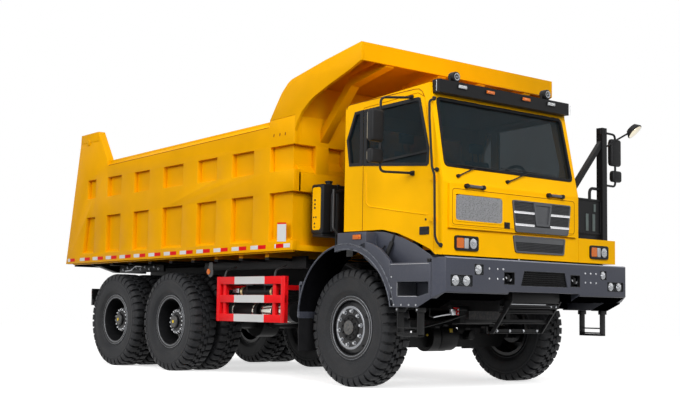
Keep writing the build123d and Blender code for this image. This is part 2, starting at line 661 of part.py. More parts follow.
with BuildPart() as cab_glass:
    back = 24.0
    side_slab([(cowl_x - back, belt_z), (cowl_x - back - glass_thick, belt_z), (header_x - back - glass_thick, header_z),
               (header_x - back, header_z)], inner_right_y, inner_left_y)
    front_slab([(-1429.5, 2475.5), (724.5, 2475.5), (704.5, 3234.5), (-1409.5, 3234.5)], header_x - 110, cab_front_x + 5, Mode.INTERSECT)
    block(cab_back_x + 18, cab_back_x + 24, rear_window[0] + glass_gap, rear_window[1] - glass_gap,
          rear_window[2] + glass_gap, rear_window[3] - glass_gap)
    for outer_y, inner_y in ((cab_right_y, inner_right_y), (cab_left_y, inner_left_y)):
        out = 1 if outer_y > 0 else -1
        side_slab([(2511, 2890), (2645.5, 3189), (2734.5, 3194), (2734.5, 2588.6), (2560.6, 2596.8)],
                  outer_y - out * 20, outer_y - out * 26)
finish(cab_glass.part, "cab_glass")

with BuildPart() as visor_bar:
    side_slab([(3890, 3285), (3990, 3285), (3990, 3430), (header_x - 9.5, 3430), (header_x - 9.5, 3351)], -1462, 756)
finish(visor_bar.part, "visor_bar")

with BuildPart() as front_flap:
    block(cab_front_x + 2, cab_front_x + 30, -1430, 722, 1790, flap_top_z - 12)
    for hinge_y in flap_hinge_y:
        bar_y(flap_axis_x, hinge_y - 40, hinge_y + 40, flap_top_z, 12)
        block(cab_front_x + 3, cab_front_x + 27, hinge_y - 40, hinge_y + 40, flap_top_z - 14, flap_top_z - 4)
        bar_y(flap_axis_x, hinge_y - 41, hinge_y + 41, flap_top_z, 6 + turning_gap, Mode.SUBTRACT)
finish(front_flap.part, "front_flap")

# ---------------------------------------------------------------- inside the cab

driver_y, passenger_y = 250.0, -950.0
floor_z = 1835.0
with BuildPart() as seats:
    for seat_y in (driver_y, passenger_y):
        block(2980, 3320, seat_y - 170, seat_y + 170, floor_z, 2090)
        block(2930, 3430, seat_y - 250, seat_y + 250, 2080, 2220)
        side_slab([(2930, 2150), (3060, 2150), (2930, 2860), (2830, 2860)], seat_y - 240, seat_y + 240)
        side_slab([(2825, 2850), (2915, 2850), (2890, 3030), (2810, 3030)], seat_y - 130, seat_y + 130)
finish(seats.part, "seats")

with BuildPart() as dashboard:
    side_slab([(3760, 2100), (4035, 2100), (4035, 2270), (3990, 2430), (3800, 2400), (3720, 2280)],
              inner_right_y + 5, inner_left_y - 5)
    side_slab([(3880, 1720), (4035, 1720), (4035, 2110), (3880, 2110)], driver_y - 200, driver_y + 200)
    spoke((3800, driver_y, 2300), (3520, driver_y, 2451), 30)
    wheel_tilt = Plane(origin=(3530, driver_y, 2445), z_dir=(-0.88, 0, 0.47))
    with BuildSketch(wheel_tilt) as rim_ring:
        Circle(235)
        Circle(205, mode=Mode.SUBTRACT)
        Rectangle(30, 420)
    extrude(rim_ring.sketch, amount=26)
finish(dashboard.part, "dashboard")

# ---------------------------------------------------------------- doors, mirrors and rails

door_window = [(2838, 2582), (3842, 2500), (3858, 2660), (3712, 3228), (2838, 3196)]
door_pane = [(2838.5, 2582.6), (3841.5, 2500.6), (3857.4, 2660), (3711.6, 3227.4), (2838.5, 3195.4)]
door_sides = [("door_right", cab_right_y, door_outline_right), ("door_left", cab_left_y, door_outline_left)]
for door_name, outer_y, outline in door_sides:
    out = 1 if outer_y > 0 else -1
    with BuildPart() as door:
        side_slab(outline, outer_y, outer_y - out * cab_wall)
        side_slab(door_window, outer_y + out, outer_y - out * (cab_wall + 1), Mode.SUBTRACT)
        for height in hinge_heights:
            block(hinge_x - 40, hinge_x, outer_y - out * 1, outer_y + out * (hinge_out + 9), height - 17.5,
                  height + 17.5)
            bar_z(hinge_x, outer_y + out * hinge_out, height - 17.5, height + 17.5, 15)
            bar_z(hinge_x, outer_y + out * hinge_out, height - 18, height + 18, hinge_pin_r + turning_gap,
                  Mode.SUBTRACT)
    finish(door.part, door_name)
    with BuildPart() as pane:
        side_slab(door_pane, outer_y - out * 20, outer_y - out * (20 + glass_thick))
    finish(pane.part, door_name + "_glass")

with BuildPart() as mirrors_right:
    for foot_x, foot_z in ((3600, 3262), (3629, 2410)):
        block(foot_x - 22, foot_x + 22, cab_right_y - turning_gap, cab_right_y - 22, foot_z - 22, foot_z + 22)
    pipe([(3600, cab_right_y - 12, 3262), (3560, 100 - mirror_edge, 3235), (3560, 100 - mirror_edge, 2410),
          (3629, cab_right_y - 12, 2410)], 14, 60)
    block(3515, 3605, -mirror_edge, 200 - mirror_edge, 2740, 3090)
    block(3515, 3605, -mirror_edge, 190 - mirror_edge, 2500, 2650)
finish(mirrors_right.part, "mirrors_right")

with BuildPart() as grab_rail:
    for foot_x, foot_z in ((3868, 3190), (4012, 1600)):
        block(foot_x - 16, foot_x + 16, cab_right_y - turning_gap, cab_right_y - 14, foot_z - 16, foot_z + 16)
    pipe([(3868, cab_right_y - 8, 3190), (3868, cab_right_y - 62, 3190), (4012, cab_right_y - 62, 2430),
          (4012, cab_right_y - 62, 1600), (4012, cab_right_y - 8, 1600)], 14, 22)
finish(grab_rail.part, "grab_rail")

# ---------------------------------------------------------------- load body

bed_slope = (bed_bottom_front_z - bed_bottom_rear_z) / (bed_front_x - bed_rear_x)


def bed_bottom(x):
    return bed_bottom_rear_z + (x - bed_rear_x) * bed_slope


def bed_line(x, rear_z, front_z):
    # Height on a straight line between the rear and front ends of the load body
    return rear_z + (x - bed_rear_x) * (front_z - rear_z) / (bed_front_x - bed_rear_x)


bed_inner = bed_half - bed_wall
runner_y = 393.0
beam_bottom = 1500.0
post_top_z = 3565.0
rail_line = (3067.0, 3263.0)
tail_hinge_x, tail_hinge_z, tail_pin_r = -3560.0, 3440.0, 30.0
recess_columns = [(-3540, -3280), (-2910, -2490), (-2110, -1680), (-1300, -780), (-410, 55), (410, 890), (1240, 1731)]
recess_rows = [(2535, 2600, 2825, 2910), (1690, 1725, 2240, 2330)]
lip_rise = 60.0
with BuildPart() as bed_sides:
    for side in right_and_left:
        outer_y = side * bed_half
        side_slab([(bed_rear_x, bed_bottom_rear_z), (bed_front_x, bed_bottom_front_z), (bed_front_x, rail_line[1]),
                   (-2940, bed_line(-2940, *rail_line)), (-3250, 3575), (-3800, 3559)], outer_y, side * bed_inner)
        for low_rear, low_front, high_rear, high_front in recess_rows:
            for x0, x1 in recess_columns:
                corners = [(x0, bed_line(x0, low_rear, low_front)), (x1, bed_line(x1, low_rear, low_front)),
                           (x1, bed_line(x1, high_rear, high_front)), (x0, bed_line(x0, high_rear, high_front))]
                side_slab(corners, outer_y + side, side * (bed_half - bed_recess), Mode.SUBTRACT)
                low = bed_line(x0, low_rear, low_front) - 4
                front_slab([(side * (bed_half - bed_recess - 1), low), (side * (bed_half - 2), low),
                            (side * (bed_half - bed_recess - 1), low + lip_rise)], x0 - 1, min(x1, 1640) + 1)
            end = [(1640, bed_line(1640, low_rear, low_front)), (1731, bed_line(1731, low_rear, low_front)),
                   (1731, bed_line(1731, high_rear, high_front)), (1640, bed_line(1640, high_rear, high_front))]
            side_slab(end, outer_y + side, side * (bed_inner - 1), Mode.SUBTRACT)
        bar_y(tail_hinge_x, side * (bed_inner - 44), side * (bed_inner + 1), tail_hinge_z, tail_pin_r)
finish(bed_sides.part, "bed_sides")

with BuildPart() as bed_floor:
    side_slab([(-4150, bed_bottom(-4150) + bed_floor_lift), (1619.7, bed_bottom(1620) + bed_floor_lift),
               (1619.7, bed_bottom(1620) + bed_floor_lift + bed_floor_thick),
               (-4150, bed_bottom(-4150) + bed_floor_lift + bed_floor_thick)], -bed_inner, bed_inner)
    for beam_x in range(-4100, 1600, 570):
        block(beam_x, beam_x + 80, -bed_inner, bed_inner, beam_bottom, bed_bottom(beam_x) + bed_floor_lift + 2)
    for ear_y in (-hoist_y, hoist_y):
        for edge in (-1, 1):
            block(hoist_eye_x - 60, hoist_eye_x + 60, ear_y + edge * 60, ear_y + edge * 82, hoist_eye_z,
                  bed_bottom(hoist_eye_x) + bed_floor_lift + 2)
            bar_y(hoist_eye_x, ear_y + edge * 60, ear_y + edge * 82, hoist_eye_z, 60)
finish(bed_floor.part, "bed_floor")

with BuildPart() as bed_runners:
    for side in right_and_left:
        near, far = side * runner_y, side * (runner_y + pivot_ear)
        block(tip_pivot_x + 90, 1500, near, far, rail_top_z + running_gap, beam_bottom)
        block(tip_pivot_x - 95, tip_pivot_x + 91, near, far, tip_pivot_z, beam_bottom)
        bar_y(tip_pivot_x, near, far, tip_pivot_z, 95)
        bar_y(tip_pivot_x, side * (runner_y - 1), side * (runner_y + pivot_ear + 1), tip_pivot_z,
              tip_pin_r + turning_gap, Mode.SUBTRACT)
finish(bed_runners.part, "bed_runners")

front_bottom_z = 1712.0
with BuildPart() as bed_front:
    block(1620, bed_front_x, -bed_inner, bed_inner, bed_bottom(1620) + bed_floor_lift, rail_line[1] - 2)
    block(1620, 1650, -bed_inner, bed_inner, rail_line[1] - 3, rail_line[1] + 2)
    side_slab([(1620, rail_line[1] + 1), (1650, rail_line[1] + 1), (1650, 3690), (1620, 3667)], -1654, 1654)
    for low, high in ((2595, 2907), (1740, 2325)):
        for y0, y1 in ((-1591, -1353), (-1151, -900), (-700, -110), (110, 700), (900, 1151), (1353, 1591)):
            block(1640, bed_front_x + 1, y0, y1, low, high, Mode.SUBTRACT)
        side_slab([(1639, low - 2), (1639, low + lip_rise), (bed_front_x - 2, low - 2)], -bed_inner, bed_inner)
finish(bed_front.part, "bed_front")

with BuildPart() as bed_canopy:
    for side in right_and_left:
        side_slab([(1215, 3248), (1533, 3637), (1665, 3739), (canopy_tip_x, 3983), (canopy_tip_x, 3764), (2637, 3621),
                   (2251, 3515), (1962, 3342), (1784, 3032), (bed_front_x + 0.3, 2950), (bed_front_x + 0.3, 3265.5)],
                  side * bed_half, side * 1655)
    side_slab([(1560, 3658), (1665, 3739), (canopy_tip_x, 3983), (canopy_tip_x, 3764), (2926, 3764), (2926, 3948),
               (1670, 3709), (1575, 3633)], -1656, 1656)
    for strut_y in (-1295, -418, 282, 1160):
        side_slab([(bed_front_x + 0.3, 2960), (2310, 3600), (2927, 3745), (2927, 3850), (2285, 3720),
                   (bed_front_x + 0.3, 3110)], strut_y, strut_y + 135)
finish(bed_canopy.part, "bed_canopy")

# ---------------------------------------------------------------- tailgate

lean = (-3800.0 - bed_rear_x) / (3559.0 - bed_bottom_rear_z)


def tail_x(z):
    return bed_rear_x + (z - bed_bottom_rear_z) * lean


gate_half = bed_inner - seam
gate_low, gate_high, gate_thick, gate_skin = 1640.0, 3080.0, 100.0, 30.0
with BuildPart() as tailgate:
    side_slab([(tail_x(gate_low) + gate_thick - gate_skin, gate_low), (tail_x(gate_low) + gate_thick, gate_low),
               (tail_x(gate_high) + gate_thick, gate_high), (tail_x(gate_high) + gate_thick - gate_skin, gate_high)],
              -gate_half, gate_half)
    for low, high in ((gate_low, 1780), (2280, 2420), (2940, gate_high)):
        side_slab([(tail_x(low), low), (tail_x(low) + gate_thick - 1, low), (tail_x(high) + gate_thick - 1, high),
                   (tail_x(high), high)], -gate_half, gate_half)
    for rib_y in (-gate_half, -1000, -380, 240, 860, gate_half - 140):
        side_slab([(tail_x(gate_low), gate_low), (tail_x(gate_low) + gate_thick - 1, gate_low),
                   (tail_x(gate_high) + gate_thick - 1, gate_high), (tail_x(gate_high), gate_high)],
                  rib_y, rib_y + 140)
    for side in right_and_left:
        arm_in, arm_out = side * (bed_inner - 44), side * (bed_inner - 10)
        side_slab([(tail_x(3070) + 5, 3070), (tail_x(3070) + 95, 3070), (-3520, 3400), (-3600, 3470), (-3640, 3420)],
                  arm_in, arm_out)
        bar_y(tail_hinge_x, arm_in, arm_out, tail_hinge_z, 60)
        bar_y(tail_hinge_x, side * (bed_inner - 45), side * (bed_inner - 9), tail_hinge_z, tail_pin_r + turning_gap,
              Mode.SUBTRACT)
finish(tailgate.part, "tailgate")

# ---------------------------------------------------------------- hoist

hoist_run = Vector(hoist_eye_x - hoist_base_x, 0, hoist_eye_z - hoist_base_z)
hoist_length = hoist_run.length
hoist_lean = math.degrees(math.atan2(hoist_run.Z, hoist_run.X))
hoist_places = [Location((hoist_base_x, y, hoist_base_z), (0, 90 - hoist_lean, 0)) for y in (-hoist_y, hoist_y)]


def hoist_piece(start, end, outer_r, bore_start=None, bore_r=0.0):
    with BuildPart(mode=Mode.PRIVATE) as piece:
        with Locations((0, 0, start)):
            Cylinder(outer_r, end - start, align=(Align.CENTER, Align.CENTER, Align.MIN))
        if bore_start is not None:
            with Locations((0, 0, bore_start)):
                Cylinder(bore_r, end - bore_start + 1, align=(Align.CENTER, Align.CENTER, Align.MIN),
                         mode=Mode.SUBTRACT)
    return piece.part


barrel_tube = hoist_piece(62, 900, hoist_barrel_r, 120, hoist_stage_r + hoist_gap)
barrel_neck = hoist_piece(0, 63, 50)
stage_tube = hoist_piece(130, 940, hoist_stage_r, 190, hoist_rod_r + hoist_gap)
rod_bar = hoist_piece(200, hoist_length, hoist_rod_r)
with BuildPart() as hoist_barrel:
    for place in hoist_places:
        add(barrel_tube.moved(place))
        add(barrel_neck.moved(place))
    for foot_y in (-hoist_y, hoist_y):
        bar_y(hoist_base_x, foot_y - 54, foot_y + 54, hoist_base_z, 50)
        bar_y(hoist_base_x, foot_y - 90, foot_y + 90, hoist_base_z, hoist_pin_r + hoist_gap, Mode.SUBTRACT)
finish(hoist_barrel.part, "hoist_barrels")

with BuildPart() as hoist_stage:
    for place in hoist_places:
        add(stage_tube.moved(place))
finish(hoist_stage.part, "hoist_stages")

with BuildPart() as hoist_rod:
    for place in hoist_places:
        add(rod_bar.moved(place))
    for foot_y in (-hoist_y, hoist_y):
        bar_y(hoist_eye_x, foot_y - 54, foot_y + 54, hoist_eye_z, 56)
finish(hoist_rod.part, "hoist_rods")
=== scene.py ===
import math

import bpy
from mathutils import Matrix, Vector


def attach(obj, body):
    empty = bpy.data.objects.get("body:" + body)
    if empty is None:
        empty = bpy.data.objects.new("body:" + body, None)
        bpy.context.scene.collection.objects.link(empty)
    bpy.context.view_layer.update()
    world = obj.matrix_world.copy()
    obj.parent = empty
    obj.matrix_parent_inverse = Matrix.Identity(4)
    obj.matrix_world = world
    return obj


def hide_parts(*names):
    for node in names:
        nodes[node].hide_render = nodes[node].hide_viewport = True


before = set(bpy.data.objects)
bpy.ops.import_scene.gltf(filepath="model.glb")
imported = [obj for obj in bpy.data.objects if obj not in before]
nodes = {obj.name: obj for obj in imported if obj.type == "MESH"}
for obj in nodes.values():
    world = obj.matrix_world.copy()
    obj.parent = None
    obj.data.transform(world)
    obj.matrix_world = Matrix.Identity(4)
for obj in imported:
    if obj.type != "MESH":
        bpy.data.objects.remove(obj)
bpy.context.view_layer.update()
print("frame loaded:", len(nodes), "nodes")

# small helpers for modelling


def clearAll():
    if bpy.context.object and bpy.context.object.mode != "OBJECT":
        bpy.ops.object.mode_set(mode="OBJECT")
    bpy.ops.object.select_all(action="DESELECT")


def pick(obj):
    # selects one object alone and makes it the active one
    clearAll()
    obj.select_set(True)
    bpy.context.view_layer.objects.active = obj


def settle(obj):
    # bakes place, turn and size into the mesh
    pick(obj)
    bpy.ops.object.transform_apply(location=True, rotation=True, scale=True)
    return obj


def applied(obj, mod):
    pick(obj)
    bpy.ops.object.modifier_apply(modifier=mod.name)
    return obj


def discard(obj):
    bpy.data.objects.remove(obj, do_unlink=True)


def linked(obj):
    bpy.context.collection.objects.link(obj)
    return obj


def meshOf(curve):
    # the mesh that a curve describes
    pick(linked(bpy.data.objects.new(curve.name, curve)))
    bpy.ops.object.convert(target="MESH")
    return bpy.context.object


def polyLine(curve, points, closed=True):
    spline = curve.splines.new("POLY")
    spline.points.add(len(points) - 1)
    for point, place in zip(spline.points, points):
        point.co = (*place, 1)
    spline.use_cyclic_u = closed


def editAll():
    bpy.ops.object.mode_set(mode="EDIT")
    bpy.ops.mesh.select_all(action="SELECT")


def bevelEdges(obj, width, segments=2, angle=35):
    mod = obj.modifiers.new("edge", "BEVEL")
    mod.width = width
    mod.segments = segments
    mod.limit_method = "ANGLE"
    mod.angle_limit = math.radians(angle)
    return applied(obj, mod)


def block(x0, x1, y0, y1, z0, z1, edge=0.0, segments=2):
    clearAll()
    bpy.ops.mesh.primitive_cube_add(size=1, location=((x0 + x1) / 2, (y0 + y1) / 2, (z0 + z1) / 2))
    obj = bpy.context.object
    obj.scale = (abs(x1 - x0), abs(y1 - y0), abs(z1 - z0))
    settle(obj)
    if edge:
        bevelEdges(obj, edge, segments)
    return obj


def bar(start, end, radius, sides=20, edge=0.0, tip=None):
    # round bar, or a cone when a tip radius is given
    a, b = Vector(start), Vector(end)
    clearAll()
    if tip is None:
        bpy.ops.mesh.primitive_cylinder_add(vertices=sides, radius=radius, depth=(b - a).length)
    else:
        bpy.ops.mesh.primitive_cone_add(vertices=sides, radius1=radius, radius2=tip, depth=(b - a).length)
    obj = bpy.context.object
    obj.rotation_mode = "QUATERNION"
    obj.rotation_quaternion = (b - a).to_track_quat("Z", "Y")
    obj.location = (a + b) / 2
    settle(obj)
    if edge:
        bevelEdges(obj, edge)
    return obj


def eased(last, p, following, reach, steps):
    # points of a smooth curve that rounds off the corner p
    back = (last - p).normalized() * reach
    on = (following - p).normalized() * reach
    return [(1 - t) ** 2 * (p + back) + 2 * t * (1 - t) * p + t ** 2 * (p + on)
            for t in (k / steps for k in range(steps + 1))]


def tube(points, radius, bend=0.0, sides=8):
    # bent pipe through the given corners
    curve = bpy.data.curves.new("pipe", "CURVE")
    curve.dimensions = "3D"
    curve.bevel_depth = radius
    curve.bevel_resolution = max(1, sides // 4)
    curve.use_fill_caps = True
    pts = [Vector(p) for p in points]
    line = []
    for i, p in enumerate(pts):
        if bend and 0 < i < len(pts) - 1:
            line += eased(pts[i - 1], p, pts[i + 1], bend, 5)
        else:
            line.append(p)
    polyLine(curve, line, False)
    return meshOf(curve)


def plate(outline, axis, low, high, edge=0.0, segments=1, holes=()):
    # flat outline pushed along an axis: x takes (y, z), y takes (x, z), z takes (x, y)
    curve = bpy.data.curves.new("plate", "CURVE")
    curve.dimensions = "2D"
    curve.fill_mode = "BOTH"
    curve.extrude = abs(high - low) / 2
    for loop in (outline, *holes):
        polyLine(curve, [(u, v, 0) for u, v in loop])
    obj = meshOf(curve)
    mid = (low + high) / 2
    rows = {"x": ((0, 0, 1, mid), (1, 0, 0, 0), (0, 1, 0, 0)),
            "y": ((1, 0, 0, 0), (0, 0, -1, mid), (0, 1, 0, 0)),
            "z": ((1, 0, 0, 0), (0, 1, 0, 0), (0, 0, 1, mid))}
    obj.matrix_world = Matrix((*rows[axis], (0, 0, 0, 1)))
    settle(obj)
    editAll()
    bpy.ops.mesh.remove_doubles(threshold=0.00005)
    bpy.ops.mesh.normals_make_consistent(inside=False)
    bpy.ops.object.mode_set(mode="OBJECT")
    if edge:
        bevelEdges(obj, edge, segments)
    return obj


def arcPoints(middle, radius, start, end, steps):
    # points along an arc, angles in degrees
    turns = [math.radians(start + (end - start) * k / steps) for k in range(steps + 1)]
    return [(middle[0] + radius * math.cos(turn), middle[1] + radius * math.sin(turn)) for turn in turns]


def sloped(obj, slope, fromX):
    # lifts a level piece so that it follows a line that climbs forwards
    for vertex in obj.data.vertices:
        vertex.co.z += slope * (vertex.co.x - fromX)
    return obj


def ring(centre, axis, outer, inner, thick, sides=32):
    # flat washer or band about an axis letter
    clearAll()
    bpy.ops.mesh.primitive_cylinder_add(vertices=sides, radius=outer, depth=thick)
    obj = bpy.context.object
    bpy.ops.mesh.primitive_cylinder_add(vertices=sides, radius=inner, depth=thick * 1.6)
    hole = bpy.context.object
    cut(obj, hole)
    turnTo(obj, axis)
    obj.location = centre
    return settle(obj)


def turnTo(obj, axis):
    obj.rotation_euler = {"x": (0, math.pi / 2, 0), "y": (-math.pi / 2, 0, 0), "z": (0, 0, 0)}[axis]


def cut(obj, tool):
    mod = obj.modifiers.new("cut", "BOOLEAN")
    mod.operation = "DIFFERENCE"
    mod.object = tool
    applied(obj, mod)
    discard(tool)
    return obj


def ownCopy(obj):
    new = linked(obj.copy())
    new.data = obj.data.copy()
    return new


def copyOf(obj, move=(0, 0, 0), turn=None, about=(0, 0, 0)):
    # a copy with its own mesh, moved, and turned by (axis letter, degrees) about a point first
    new = ownCopy(obj)
    if turn:
        spin = Matrix.Rotation(math.radians(turn[1]), 4, turn[0].upper())
        new.data.transform(Matrix.Translation(about) @ spin @ Matrix.Translation([-v for v in about]))
    new.data.transform(Matrix.Translation(move))
    return new


def mirrored(obj):
    # the same shape on the truck's other side, faces still outwards
    new = ownCopy(obj)
    new.data.transform(Matrix.Scale(-1, 4, (0, 1, 0)))
    new.data.flip_normals()
    return new


def bothSides(parts):
    return parts + [mirrored(part) for part in parts]


def joined(parts):
    clearAll()
    for part in parts:
        part.select_set(True)
    bpy.context.view_layer.objects.active = parts[0]
    if len(parts) > 1:
        bpy.ops.object.join()
    return bpy.context.object


def painted(obj, material):
    obj.data.materials.clear()
    obj.data.materials.append(material)


def done(parts, name, body, material, angle=32, replaces=()):
    # joins the parts into a finished piece on its body
    piece = settle(joined(parts))
    bpy.ops.object.shade_smooth_by_angle(angle=math.radians(angle))
    piece.name = piece.data.name = name
    painted(piece, material)
    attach(piece, body)
    for node in replaces:
        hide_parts(node)
    return piece


# shared effects


def shade(colour, factor=1.0):
    return (*[c * factor for c in colour], 1)


def setInputs(node, values):
    # a number or colour goes on the socket itself, an output is linked
    for label, value in values.items():
        if isinstance(value, bpy.types.NodeSocket):
            node.id_data.links.new(value, node.inputs[label])
        else:
            node.inputs[label].default_value = value
    return node


def newGroup(name, inputs, outputs):
    group = bpy.data.node_groups.new(name, "ShaderNodeTree")
    for label, kind, value in inputs:
        socket = group.interface.new_socket(name=label, in_out="INPUT", socket_type=kind)
        if value is not None:
            socket.default_value = value
    for label, kind in outputs:
        group.interface.new_socket(name=label, in_out="OUTPUT", socket_type=kind)
    return group, group.nodes.new("NodeGroupInput"), group.nodes.new("NodeGroupOutput")


def mathNode(tree, operation, a, b, clamp=False):
    node = setInputs(tree.nodes.new("ShaderNodeMath"), {0: a, 1: b})
    node.operation = operation
    node.use_clamp = clamp
    return node.outputs[0]


def mixColour(tree, factor, a, b):
    node = tree.nodes.new("ShaderNodeMix")
    node.data_type = "RGBA"
    return setInputs(node, {0: factor, 6: a, 7: b}).outputs[2]


def noise(tree, vector, scale, detail=4.0, rough=0.55):
    node = setInputs(tree.nodes.new("ShaderNodeTexNoise"),
                     {"Scale": scale, "Detail": detail, "Roughness": rough, "Vector": vector})
    return node.outputs["Fac"]


def remap(tree, value, low, high, toLow=0.0, toHigh=1.0):
    node = setInputs(tree.nodes.new("ShaderNodeMapRange"),
                     {"Value": value, "From Min": low, "From Max": high, "To Min": toLow, "To Max": toHigh})
    node.clamp = True
    return node.outputs["Result"]


def buildPaintGroup():
    # colour drift, thin dust low down and in patches, orange peel
    group, source, sink = newGroup(
        "paintSurface",
        [("Place", "NodeSocketVector", None), ("Paint", "NodeSocketColor", (1, 1, 1, 1)),
         ("Dust Colour", "NodeSocketColor", (0.35, 0.3, 0.24, 1)), ("Dust", "NodeSocketFloat", 0.2),
         ("Rough", "NodeSocketFloat", 0.35), ("Peel", "NodeSocketFloat", 0.1)],
        [("Colour", "NodeSocketColor"), ("Roughness", "NodeSocketFloat"), ("Height", "NodeSocketFloat")])
    place = source.outputs["Place"]
    broad = noise(group, place, 1.6, 3)
    fine = noise(group, place, 38.0, 5)
    peel = noise(group, place, 260.0, 2)
    scaled = group.nodes.new("ShaderNodeVectorMath")
    scaled.operation = "SCALE"
    setInputs(scaled, {0: source.outputs["Paint"], "Scale": remap(group, broad, 0.3, 0.7, 0.93, 1.04)})
    split = setInputs(group.nodes.new("ShaderNodeSeparateXYZ"), {0: place})
    low = remap(group, split.outputs["Z"], 0.2, 1.9, 1.0, 0.12)
    patch = remap(group, fine, 0.42, 0.72)
    dusty = mathNode(group, "MULTIPLY", mathNode(group, "MULTIPLY", low, patch), source.outputs["Dust"], True)
    colour = mixColour(group, dusty, scaled.outputs[0], source.outputs["Dust Colour"])
    rough = mathNode(group, "ADD", source.outputs["Rough"],
                     mathNode(group, "ADD", mathNode(group, "MULTIPLY", dusty, 0.4),
                              remap(group, fine, 0.3, 0.8, -0.03, 0.05)), True)
    height = mathNode(group, "MULTIPLY", peel, source.outputs["Peel"])
    setInputs(sink, {"Colour": colour, "Roughness": rough, "Height": height})
    return group


def buildWearGroup():
    # mask of rubbed edges, where the rounded normal leaves the face's own
    group, source, sink = newGroup(
        "edgeWear",
        [("Place", "NodeSocketVector", None), ("Amount", "NodeSocketFloat", 0.5)],
        [("Mask", "NodeSocketFloat")])
    rounded = setInputs(group.nodes.new("ShaderNodeBevel"), {"Radius": 0.006})
    rounded.samples = 4
    geometry = group.nodes.new("ShaderNodeNewGeometry")
    dot = group.nodes.new("ShaderNodeVectorMath")
    dot.operation = "DOT_PRODUCT"
    setInputs(dot, {0: rounded.outputs[0], 1: geometry.outputs["Normal"]})
    edge = remap(group, dot.outputs["Value"], 0.995, 0.9)
    patch = remap(group, noise(group, source.outputs["Place"], 24.0, 6), 0.35, 0.65)
    mask = mathNode(group, "MULTIPLY", mathNode(group, "MULTIPLY", edge, patch), source.outputs["Amount"],
                    True)
    setInputs(sink, {"Mask": mask})
    return group


paintGroup = buildPaintGroup()
wearGroup = buildWearGroup()


def startMaterial(name):
    material = bpy.data.materials.new(name)
    material.use_nodes = True
    tree = material.node_tree
    shader = tree.nodes["Principled BSDF"]
    place = tree.nodes.new("ShaderNodeTexCoord").outputs["Object"]
    return material, tree, shader, place


def addBump(tree, shader, height, distance):
    bump = setInputs(tree.nodes.new("ShaderNodeBump"), {"Distance": distance, "Height": height})
    setInputs(shader, {"Normal": bump.outputs["Normal"]})


def groupNode(tree, group, values):
    node = tree.nodes.new("ShaderNodeGroup")
    node.node_tree = group
    return setInputs(node, values)


def paintMaterial(name, paint, rough=0.35, metal=0.0, coat=0.0, dust=0.2, peel=0.3, wear=0.0,
                  bare=(0.3, 0.31, 0.33), bump=0.0006, shine=0.3):
    material, tree, shader, place = startMaterial(name)
    surface = groupNode(tree, paintGroup,
                        {"Place": place, "Paint": shade(paint), "Dust": dust, "Rough": rough, "Peel": peel})
    colour = surface.outputs["Colour"]
    if wear:
        rubbed = groupNode(tree, wearGroup, {"Place": place, "Amount": wear})
        colour = mixColour(tree, rubbed.outputs["Mask"], colour, shade(bare))
    setInputs(shader, {"Base Color": colour, "Roughness": surface.outputs["Roughness"], "Metallic": metal,
                       "Specular IOR Level": shine, "Coat Weight": coat, "Coat Roughness": 0.06})
    addBump(tree, shader, surface.outputs["Height"], bump)
    return material


def tyreMaterial():
    material, tree, shader, place = startMaterial("tyreRubber")
    fine = noise(tree, place, 60.0, 6)
    broad = noise(tree, place, 5.0, 3)
    tint = mixColour(tree, remap(tree, fine, 0.35, 0.75), (0.009, 0.0093, 0.0105, 1),
                     (0.022, 0.023, 0.026, 1))
    colour = mixColour(tree, remap(tree, broad, 0.45, 0.8, 0.0, 0.35), tint, (0.045, 0.043, 0.041, 1))
    setInputs(shader, {"Base Color": colour, "Roughness": remap(tree, fine, 0.3, 0.8, 0.5, 0.75),
                       "Specular IOR Level": 0.2})
    addBump(tree, shader, noise(tree, place, 300.0, 3), 0.0008)
    return material


def glassMaterial(name, tint, rough=0.02, clear=0.35):
    material, tree, shader, place = startMaterial(name)
    streak = remap(tree, noise(tree, place, 4.0, 3), 0.3, 0.7)
    smear = remap(tree, noise(tree, place, 30.0, 4), 0.3, 0.8, rough, rough + 0.03)
    setInputs(shader, {"Base Color": mixColour(tree, streak, shade(tint), shade(tint, 1.5)),
                       "Roughness": smear, "Alpha": 1.0 - clear, "Specular IOR Level": 0.1, "IOR": 1.5})
    return material


def metalMaterial(name, base, rough, grain=120.0, metal=1.0):
    material, tree, shader, place = startMaterial(name)
    stretch = setInputs(tree.nodes.new("ShaderNodeMapping"), {"Scale": (1, 1, 8), "Vector": place})
    lines = noise(tree, stretch.outputs["Vector"], grain, 3)
    setInputs(shader, {"Base Color": mixColour(tree, remap(tree, lines, 0.3, 0.75), shade(base, 0.8),
                                               shade(base)),
                       "Roughness": remap(tree, lines, 0.3, 0.75, rough * 0.8, rough * 1.25),
                       "Metallic": metal})
    addBump(tree, shader, lines, 0.0002)
    return material


def plasticMaterial(name, base, rough=0.5, grain=420.0, depth=0.0005, shine=0.2):
    material, tree, shader, place = startMaterial(name)
    broad = noise(tree, place, 9.0, 4)
    setInputs(shader, {"Base Color": mixColour(tree, remap(tree, broad, 0.35, 0.7), shade(base, 0.85),
                                               shade(base, 1.2)),
                       "Roughness": remap(tree, broad, 0.3, 0.8, rough - 0.06, rough + 0.08),
                       "Specular IOR Level": shine})
    addBump(tree, shader, noise(tree, place, grain, 2), depth)
    return material


def speckMaterial(name, base, dark, scale):
    # sheet with fine punched holes
    material, tree, shader, place = startMaterial(name)
    cells = setInputs(tree.nodes.new("ShaderNodeTexVoronoi"), {"Scale": scale, "Vector": place})
    holes = remap(tree, cells.outputs["Distance"], 0.22, 0.34)
    patch = remap(tree, noise(tree, place, 70.0, 3), 0.4, 0.65, 0.55, 1.0)
    plain = mixColour(tree, patch, shade(base, 0.4), shade(base))
    setInputs(shader, {"Base Color": mixColour(tree, holes, shade(dark), plain), "Roughness": 0.4,
                       "Specular IOR Level": 0.3})
    addBump(tree, shader, holes, 0.001)
    return material


